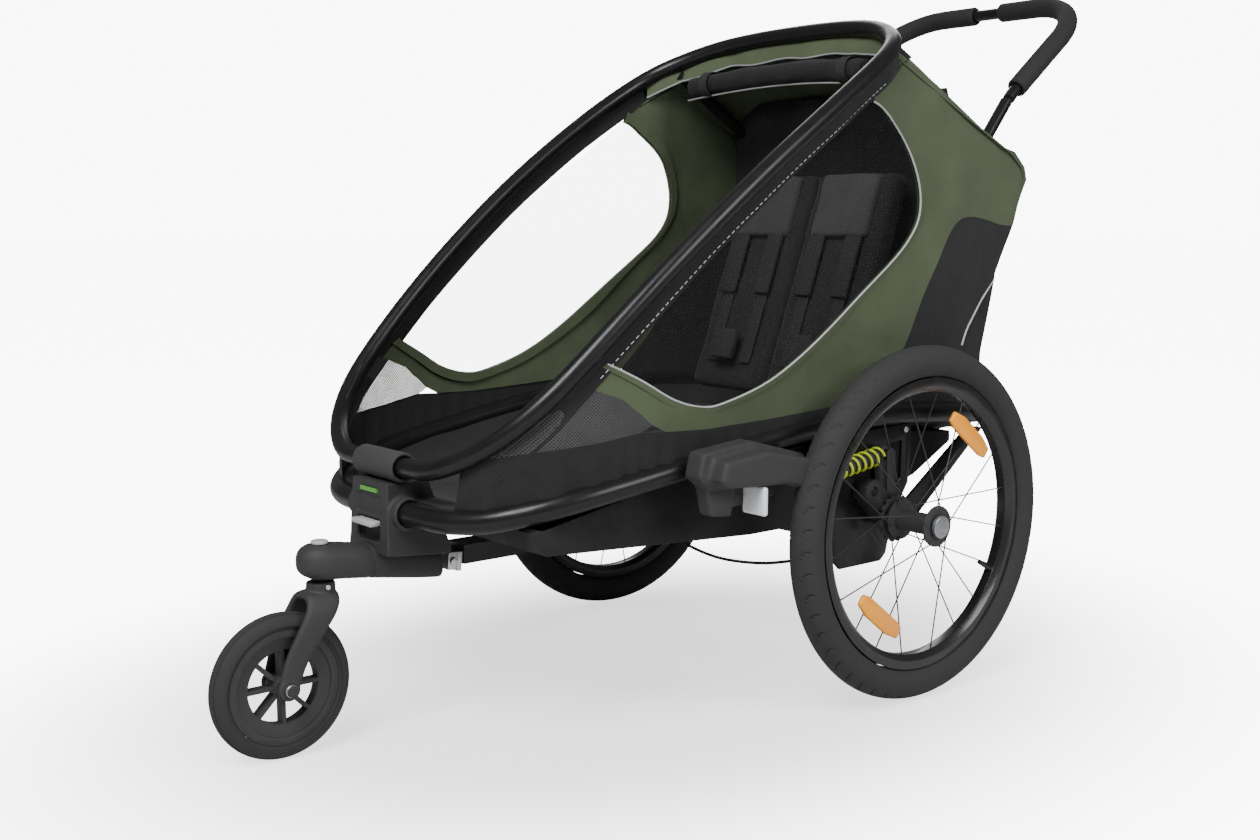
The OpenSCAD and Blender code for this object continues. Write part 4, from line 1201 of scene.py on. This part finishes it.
@dataclass
class SideCover:
    """One side of the cover: green panel, window, net, skirt and black rear panel."""

    side: Side
    window_low: tuple[Point2, ...] = (
        (-0.484, 0.497), (-0.442, 0.475), (-0.393, 0.447), (-0.347, 0.435), (-0.307, 0.439), (-0.235, 0.461),
        (-0.160, 0.501), (-0.062, 0.568), (0.041, 0.643), (0.069, 0.700), (0.047, 0.770), (-0.008, 0.820),
        (-0.034, 0.833))
    window_high: tuple[Point2, ...] = ((-0.109, 0.779), (-0.266, 0.678), (-0.344, 0.611), (-0.458, 0.520))
    panel_rear: tuple[Point2, ...] = (
        (0.039, 0.893), (0.045, 0.907), (0.225, 0.808), (0.285, 0.780), (0.308, 0.775), (0.333, 0.752),
        (0.338, 0.733), (0.318, 0.700), (0.300, 0.662))
    black_edge: tuple[Point2, ...] = (
        (0.268, 0.664), (0.195, 0.676), (0.148, 0.664), (0.105, 0.606), (0.073, 0.557), (0.043, 0.500),
        (0.018, 0.470), (-0.037, 0.422))
    seam: tuple[Point2, ...] = (
        (-0.099, 0.417), (-0.234, 0.410), (-0.342, 0.406), (-0.406, 0.408), (-0.442, 0.410),
        (-0.506, 0.400), (-0.566, 0.394), (-0.632, 0.381))
    net_front: tuple[Point2, ...] = (
        (-0.610, 0.416), (-0.551, 0.477), (-0.516, 0.471), (-0.466, 0.452), (-0.426, 0.418))
    rear_low: tuple[Point2, ...] = (
        (-0.037, 0.404), (0.020, 0.408), (0.150, 0.400), (0.228, 0.392), (0.228, 0.474), (0.255, 0.592),
        (0.300, 0.662))
    rail: tuple[Point2, ...] = (
        (-0.640, 0.314), (-0.569, 0.331), (-0.490, 0.349), (-0.385, 0.367), (-0.235, 0.391),
        (-0.100, 0.402), (-0.037, 0.404))

    def build(self) -> None:
        """Makes the whole side."""
        surface = SideSurface(self.side)
        window_low = spline(self.window_low, 6)
        black_edge = spline(self.black_edge, 5)
        panels = (
            ("green_panel", [*self.net_front[2:], *reversed(self.seam[:4]), *reversed(black_edge),
                             *reversed(self.panel_rear), *reversed(window_low)],
             GREEN_CLOTH, surface.laid(0.0, 0.0022), 0.009),
            ("window", [*window_low, *self.window_high], WINDOW_FILM,
             surface.laid(-0.0016, 0.0008), 0.012),
            ("net_panel", [*self.net_front, *self.seam[4:]], NET_CLOTH, surface.laid(0.0, 0.001), 0.012),
            ("skirt", [*self.seam, *self.rail, self.black_edge[-1]], BLACK_CLOTH,
             surface.laid(0.001, 0.001, 0.0022), 0.006),
            ("black_panel", [*self.rear_low, *black_edge], BLACK_CLOTH,
             surface.laid(-0.0004, 0.002), 0.009),
        )
        shown = []
        for name, outline, finish, laid, step in panels:
            piece = cloth(f"{name}_{self.side.word}", outline, laid, step)
            folding(finish.on(piece))
            declared_sheet(outline)
            shown.append(piece)
        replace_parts(shown[0], "side_covers")
        self.strip()
        self.hem(surface, window_low)
        self.trim(surface, window_low)

    def strip(self) -> None:
        """Dark band that joins the side to the hoop, and the seam on it."""
        surface = SideSurface(self.side)
        rows = []
        steps = 90
        for i in range(steps + 1):
            along = lerp(0.035, 0.905, i / steps)
            width = HOOP.half_width(along)
            row = []
            for k in range(6):
                y, z = HOOP.at(along, lerp(0.006, 0.035, k / 5))
                out = lerp(width + 0.004, surface.out(y, z) + 0.0006, k / 5)
                row.append(place(self.side.value * out, y, z))
            rows.append(row)
        band = grid_sheet(f"hoop_band_{self.side.word}", rows, 0.0016)
        folding(BLACK_CLOTH.on(band))

    def hem(self, surface: SideSurface, window_low: Sequence[Point2]) -> None:
        """Doubled cloth round the window, on the inside and the outside."""
        count = len(window_low)
        middle = (sum(y for y, _ in window_low) / count, sum(z for _, z in window_low) / count)
        for name, lift, width in (("inner", -0.0042, 0.016), ("outer", 0.0010, 0.009)):
            laid = surface.laid(lift)
            rows = []
            for y, z in window_low:
                away = Vector((y - middle[0], (z - middle[1]) * 1.6)).normalized()
                rows.append([laid(y + away.x * width * k / 4, z + away.y * width * k / 4)
                             for k in range(5)])
            band = grid_sheet(f"window_hem_{name}_{self.side.word}", rows, 0.0014)
            folding(GREEN_CLOTH.on(band))

    def trim(self, surface: SideSurface, window_low: Sequence[Point2]) -> None:
        """Piping round the window and the black panel, and the window's stitches."""
        laid = surface.laid(0.0012)
        lines = (("window_piping", window_low, 0.0014), ("panel_piping", spline(
            ((0.252, 0.581), (0.224, 0.554), (0.201, 0.529), (0.183, 0.508), (0.172, 0.486)), 5), 0.0014))
        for name, line, radius in lines:
            piping = tube(f"{name}_{self.side.word}", [laid(y, z) for y, z in line], radius)
            folding(PIPING.on(piping))
        dashes = []
        stitch_count = 64
        for i in range(stitch_count):
            along = lerp(0.20, 0.82, i / stitch_count)
            ends = []
            for end in (along, along + 0.0052):
                y, z = HOOP.at(end, 0.030)
                ends.append(place(self.side.value * (surface.out(y, z) + 0.0022), y, z))
            dashes.append(tube("dash", ends, 0.0006))
        folding(THREAD.on(joined(f"window_stitches_{self.side.word}", dashes)))


@dataclass
class RoofAndBack:
    """Cover over the top and down the back, with slots for the push bar's legs."""

    profile: tuple[Point2, ...] = (
        (0.118, 0.944), (0.190, 0.893), (0.290, 0.815), (0.328, 0.781), (0.345, 0.731), (0.312, 0.661),
        (0.262, 0.585), (0.246, 0.485), (0.245, 0.412))
    edge: tuple[Point2, ...] = (
        (0.044, 0.894), (0.160, 0.833), (0.258, 0.786), (0.298, 0.768), (0.328, 0.733), (0.298, 0.668),
        (0.248, 0.592), (0.228, 0.485), (0.228, 0.412))
    half: tuple[Point2, ...] = (
        (0.0, 0.252), (0.5, 0.257), (1.0, 0.261), (2.0, 0.264), (6.0, 0.261), (8.0, 0.254))
    slot: Point2 = (0.188, 0.240)

    def point(self, row: float, share: float) -> Point3:
        """A point of the cover at a row of the profile and a share of its half width."""
        middle, edge = self.on_line(self.profile, row), self.on_line(self.edge, row)
        fall = abs(share) ** 4
        wave = noise.noise(Vector((share * 3, row * 1.4, 5.2))) * 0.003 * (1 - fall)
        x = share * table_value(self.half, row)
        return place(x, lerp(middle[0], edge[0], fall) + wave, lerp(middle[1], edge[1], fall) + wave)

    @staticmethod
    def on_line(line: Sequence[Point2], row: float) -> Point2:
        """A point at a row of a smooth line."""
        curve = spline(line, 12)
        place_on = min(row * 12, len(curve) - 1.001)
        i = int(place_on)
        return tuple(lerp(a, b, place_on - i) for a, b in zip(curve[i], curve[i + 1]))

    def build(self) -> None:
        """Makes the roof, the back and the seam between them."""
        across = 64
        parts = (("roof", 0.0, 5.4, GREEN_ROOF, 60), ("back", 5.4, 8.0, BLACK_CLOTH, 30))
        for name, first, last, finish, count in parts:
            rows = [[self.point(lerp(first, last, i / count), lerp(-1, 1, k / across))
                     for k in range(across + 1)] for i in range(count + 1)]

            def open_at(i: int, k: int) -> bool:
                """Whether a push bar leg passes through this cell."""
                x = abs(rows[i][k][0] + rows[i][k + 1][0]) / 2
                _, y, z = rows[i][k]
                return (name == "roof" and self.slot[0] < x < self.slot[1]
                        and y > 0.262 + CENTRE_SHIFT and z > 0.735)

            piece = finish.on(grid_sheet(name, rows, 0.0014, open_at))
            folding(piece)
            length = sum(math.dist(rows[i][across // 2], rows[i + 1][across // 2]) for i in range(count))
            if name == "roof":
                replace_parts(piece, "rear_cover")
        self.partition()
        seam = [self.point(5.4, lerp(-1, 1, k / across)) for k in range(across + 1)]
        folding(PIPING.on(tube("back_piping", [(x, y + 0.001, z) for x, y, z in seam], 0.0016)))

    def partition(self) -> None:
        """Black lining between the seats and the luggage space, up to the roof."""
        rows = []
        for i in range(31):
            share = i / 30
            y, z = lerp(0.202, 0.196, share), lerp(0.430, 0.868, share)
            half = lerp(0.235, 0.244, smooth_step(0, 0.8, share)) - 0.030 * smooth_step(0.86, 1, share)
            rows.append([place(lerp(-half, half, k / 40),
                               y + 0.004 * noise.noise(Vector((k * 0.35, i * 0.2, 2.0))), z)
                         for k in range(41)])
        lining = BLACK_CLOTH.on(grid_sheet("rear_lining", rows, 0.0014))
        folding(lining)


@dataclass
class RolledCover:
    """Front cover rolled up under the top of the hoop, and the lip above it."""

    roll_r: float = 0.0180
    lip_half: float = 0.262
    half: float = 0.19

    def line(self, x: float, back: float, drop: float = 0.0) -> Point3:
        """A point under the hoop's top."""
        y, z = HOOP.at(HOOP.length - 0.070 - 0.024 * (x / self.half) ** 2 - drop, back)
        return place(x, y, z)

    def build(self) -> None:
        """Makes the roll, its film's edge, its two straps and the lip."""
        route = [self.line(lerp(-self.half, self.half, i / 40), 0.034) for i in range(41)]
        roll = tube("rolled_cover", route, self.roll_r)
        modified(roll, "SUBSURF", levels=1, render_levels=1)
        for vertex in roll.data.vertices:
            shift = noise.noise(vertex.co * 24) * 0.0034
            vertex.co.z += shift
            vertex.co.y += shift
        self.roll_with_hoop(BLACK_CLOTH.on(roll))
        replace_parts(roll, "front_cover_roll")
        film = [(x, y - 0.006, z - self.roll_r - 0.0008) for x, y, z in route]
        self.roll_with_hoop(GREY_PIPING.on(tube("roll_edge", film, 0.0013)))
        for i, x in enumerate((-0.150, 0.150)):
            ring = []
            centre = Vector(self.line(x, 0.034))
            for k in range(32):
                turn = math.tau * k / 32
                ring.append((centre.x, centre.y + (self.roll_r + 0.0015) * math.cos(turn),
                             centre.z + (self.roll_r + 0.0015) * math.sin(turn)))
            rows = [[(p[0] - 0.009, p[1], p[2]) for p in [*ring, ring[0]]],
                    [(p[0] + 0.009, p[1], p[2]) for p in [*ring, ring[0]]]]
            self.roll_with_hoop(WEBBING.on(grid_sheet(f"roll_strap_{i}", rows, 0.0014)))
        self.lip()

    def lip(self) -> None:
        """Green lip inside the top of the hoop, with piping on its wavy edge."""
        rows = []
        steps = 140
        for i in range(steps + 1):
            share = lerp(-1, 1, i / steps)
            x = share * self.lip_half
            along = HOOP.along_at(abs(x))
            depth = lerp(0.036, 0.020, share * share) + 0.004 * math.sin(share * 15)
            row = []
            for k in range(6):
                inward = lerp(0.004, depth, k / 5)
                y, z = HOOP.at(along - inward, 0.010 + 0.003 * k)
                row.append(place(x * (1 - 0.5 * inward), y, z))
            rows.append(row)
        self.roll_with_hoop(GREEN_ROOF.on(grid_sheet("hoop_lip", rows, 0.0014)))
        self.roll_with_hoop(GREY_PIPING.on(tube("lip_piping", [row[-1] for row in rows], 0.0016)))

    def roll_with_hoop(self, obj: Object) -> Object:
        """Lets a piece turn with the hoop."""
        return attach(obj, "hoop")


# ---- inside -------------------------------------------------------------------------------


@dataclass
class Seat:
    """Two padded seats side by side, their headrests and their harness."""

    frame: Frame
    half: float = 0.168
    hinge: Point2 = (0.050, 0.400)
    lean: float = math.radians(20)

    def on_back(self, x: float, out: float, up: float) -> Point3:
        """A point over the backrest: out is forward from its hinge plane."""
        c, s = math.cos(self.lean), math.sin(self.lean)
        return place(x, self.hinge[0] - out * c + up * s, self.hinge[1] + out * s + up * c)

    def pad(self, name: str, size: Point3, centre: Point3, tilt: float, finish: Finish) -> Object:
        """A stuffed pad: a block with full faces and soft edges."""
        obj = box(name, size, centre, min(size) * 0.3, (tilt, 0, 0))
        modified(obj, "REMESH", mode="VOXEL", voxel_size=0.005)
        modified(obj, "SMOOTH", factor=0.7, iterations=8)
        for vertex in obj.data.vertices:
            vertex.co += vertex.normal * noise.noise(vertex.co * 16) * 0.0025
        smoothed(obj, 180)
        return finish.on(obj)

    def build(self) -> None:
        """Makes the backs, cushions, headrests and straps."""
        backs = []
        for seat in (-1, 1):
            x = seat * self.half / 2
            back = self.pad(f"seat_back_{seat + 1}", (self.half - 0.004, 0.040, 0.365),
                            self.on_back(x, 0.009, 0.177), -self.lean, SEAT_CLOTH)
            head = self.pad(f"headrest_{seat + 1}", (0.118, 0.020, 0.105),
                            self.on_back(x, 0.031, 0.300), -self.lean, HEADREST_CLOTH)
            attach(back, "seat_back")
            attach(head, "seat_back")
            backs.append(back)
        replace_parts(backs[0], "seat_back")
        cushions = [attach(self.pad(f"seat_cushion_{seat + 1}", (self.half - 0.003, 0.340, 0.050),
                                     place(seat * self.half / 2, -0.135, 0.342), 0.03, SEAT_CLOTH), "chassis")
                    for seat in (-1, 1)]
        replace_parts(cushions[0], "seat_cushion")
        self.harness()

    def harness(self) -> None:
        """Shoulder straps with pads, and a buckle for each seat."""
        parts = []
        for seat in (-1, 1):
            for strap in (-1, 1):
                x = seat * self.half / 2 + strap * 0.038
                parts.append(box("strap", (0.024, 0.0024, 0.26), self.on_back(x, 0.0335, 0.165), 0.001,
                                 (-self.lean, 0, 0)))
                parts.append(box("strap_pad", (0.032, 0.008, 0.10), self.on_back(x, 0.0375, 0.20), 0.003,
                                 (-self.lean, 0, 0)))
            parts.append(box("buckle", (0.044, 0.014, 0.05),
                             self.on_back(seat * self.half / 2, 0.048, 0.06), 0.005, (-self.lean, 0, 0)))
        straps = WEBBING.on(joined("harness_straps", parts))
        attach(straps, "seat_back")
        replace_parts(straps, "harness")


@dataclass
class FloorTub:
    """Black lower body of coated cloth, and the liner that joins it to the lower frame."""

    frame: Frame
    sag: float = 0.052

    def build(self) -> None:
        """Dresses the tub and lays the liner."""
        self.frame.crisp("floor_tub", BLACK_CLOTH, 0.004)
        rows = []
        rail = SideSurface(Side.RIGHT)
        down, across = 70, 40
        for i in range(down + 1):
            y = lerp(-0.640, 0.235, i / down)
            edge_z = table_value(rail.low_z, y) + 0.010
            half = table_value(rail.low_x, y) - 0.004
            sag = self.sag * smooth_step(-0.64, -0.5, y)
            rows.append([place(lerp(-half, half, k / across), y,
                               edge_z - sag * (1 - abs(2 * k / across - 1) ** 6)
                               + 0.0015 * noise.noise(Vector((k * 0.7, y * 30, 0))))
                         for k in range(across + 1)])
        liner = BLACK_CLOTH.on(grid_sheet("floor_liner", rows, 0.0014))
        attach(liner, "chassis")


def main() -> None:
    """Builds every assembly in order and reports each one."""
    logging.basicConfig(level=logging.INFO, format="%(message)s")
    frame = Frame(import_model()["nodes"])
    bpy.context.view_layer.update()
    assemblies = [Studio(), Tubing(frame), FrontBlock(frame), StrollerFront(frame), Brake(frame),
                  *[RearWheel(frame, side) for side in Side], *[Suspension(frame, side) for side in Side],
                  FloorTub(frame), Seat(frame), *[SideCover(side) for side in Side],
                  RoofAndBack(), RolledCover()]
    for assembly in assemblies:
        assembly.build()
        LOG.info("built %s", type(assembly).__name__)


if __name__ == "__main__":
    main()
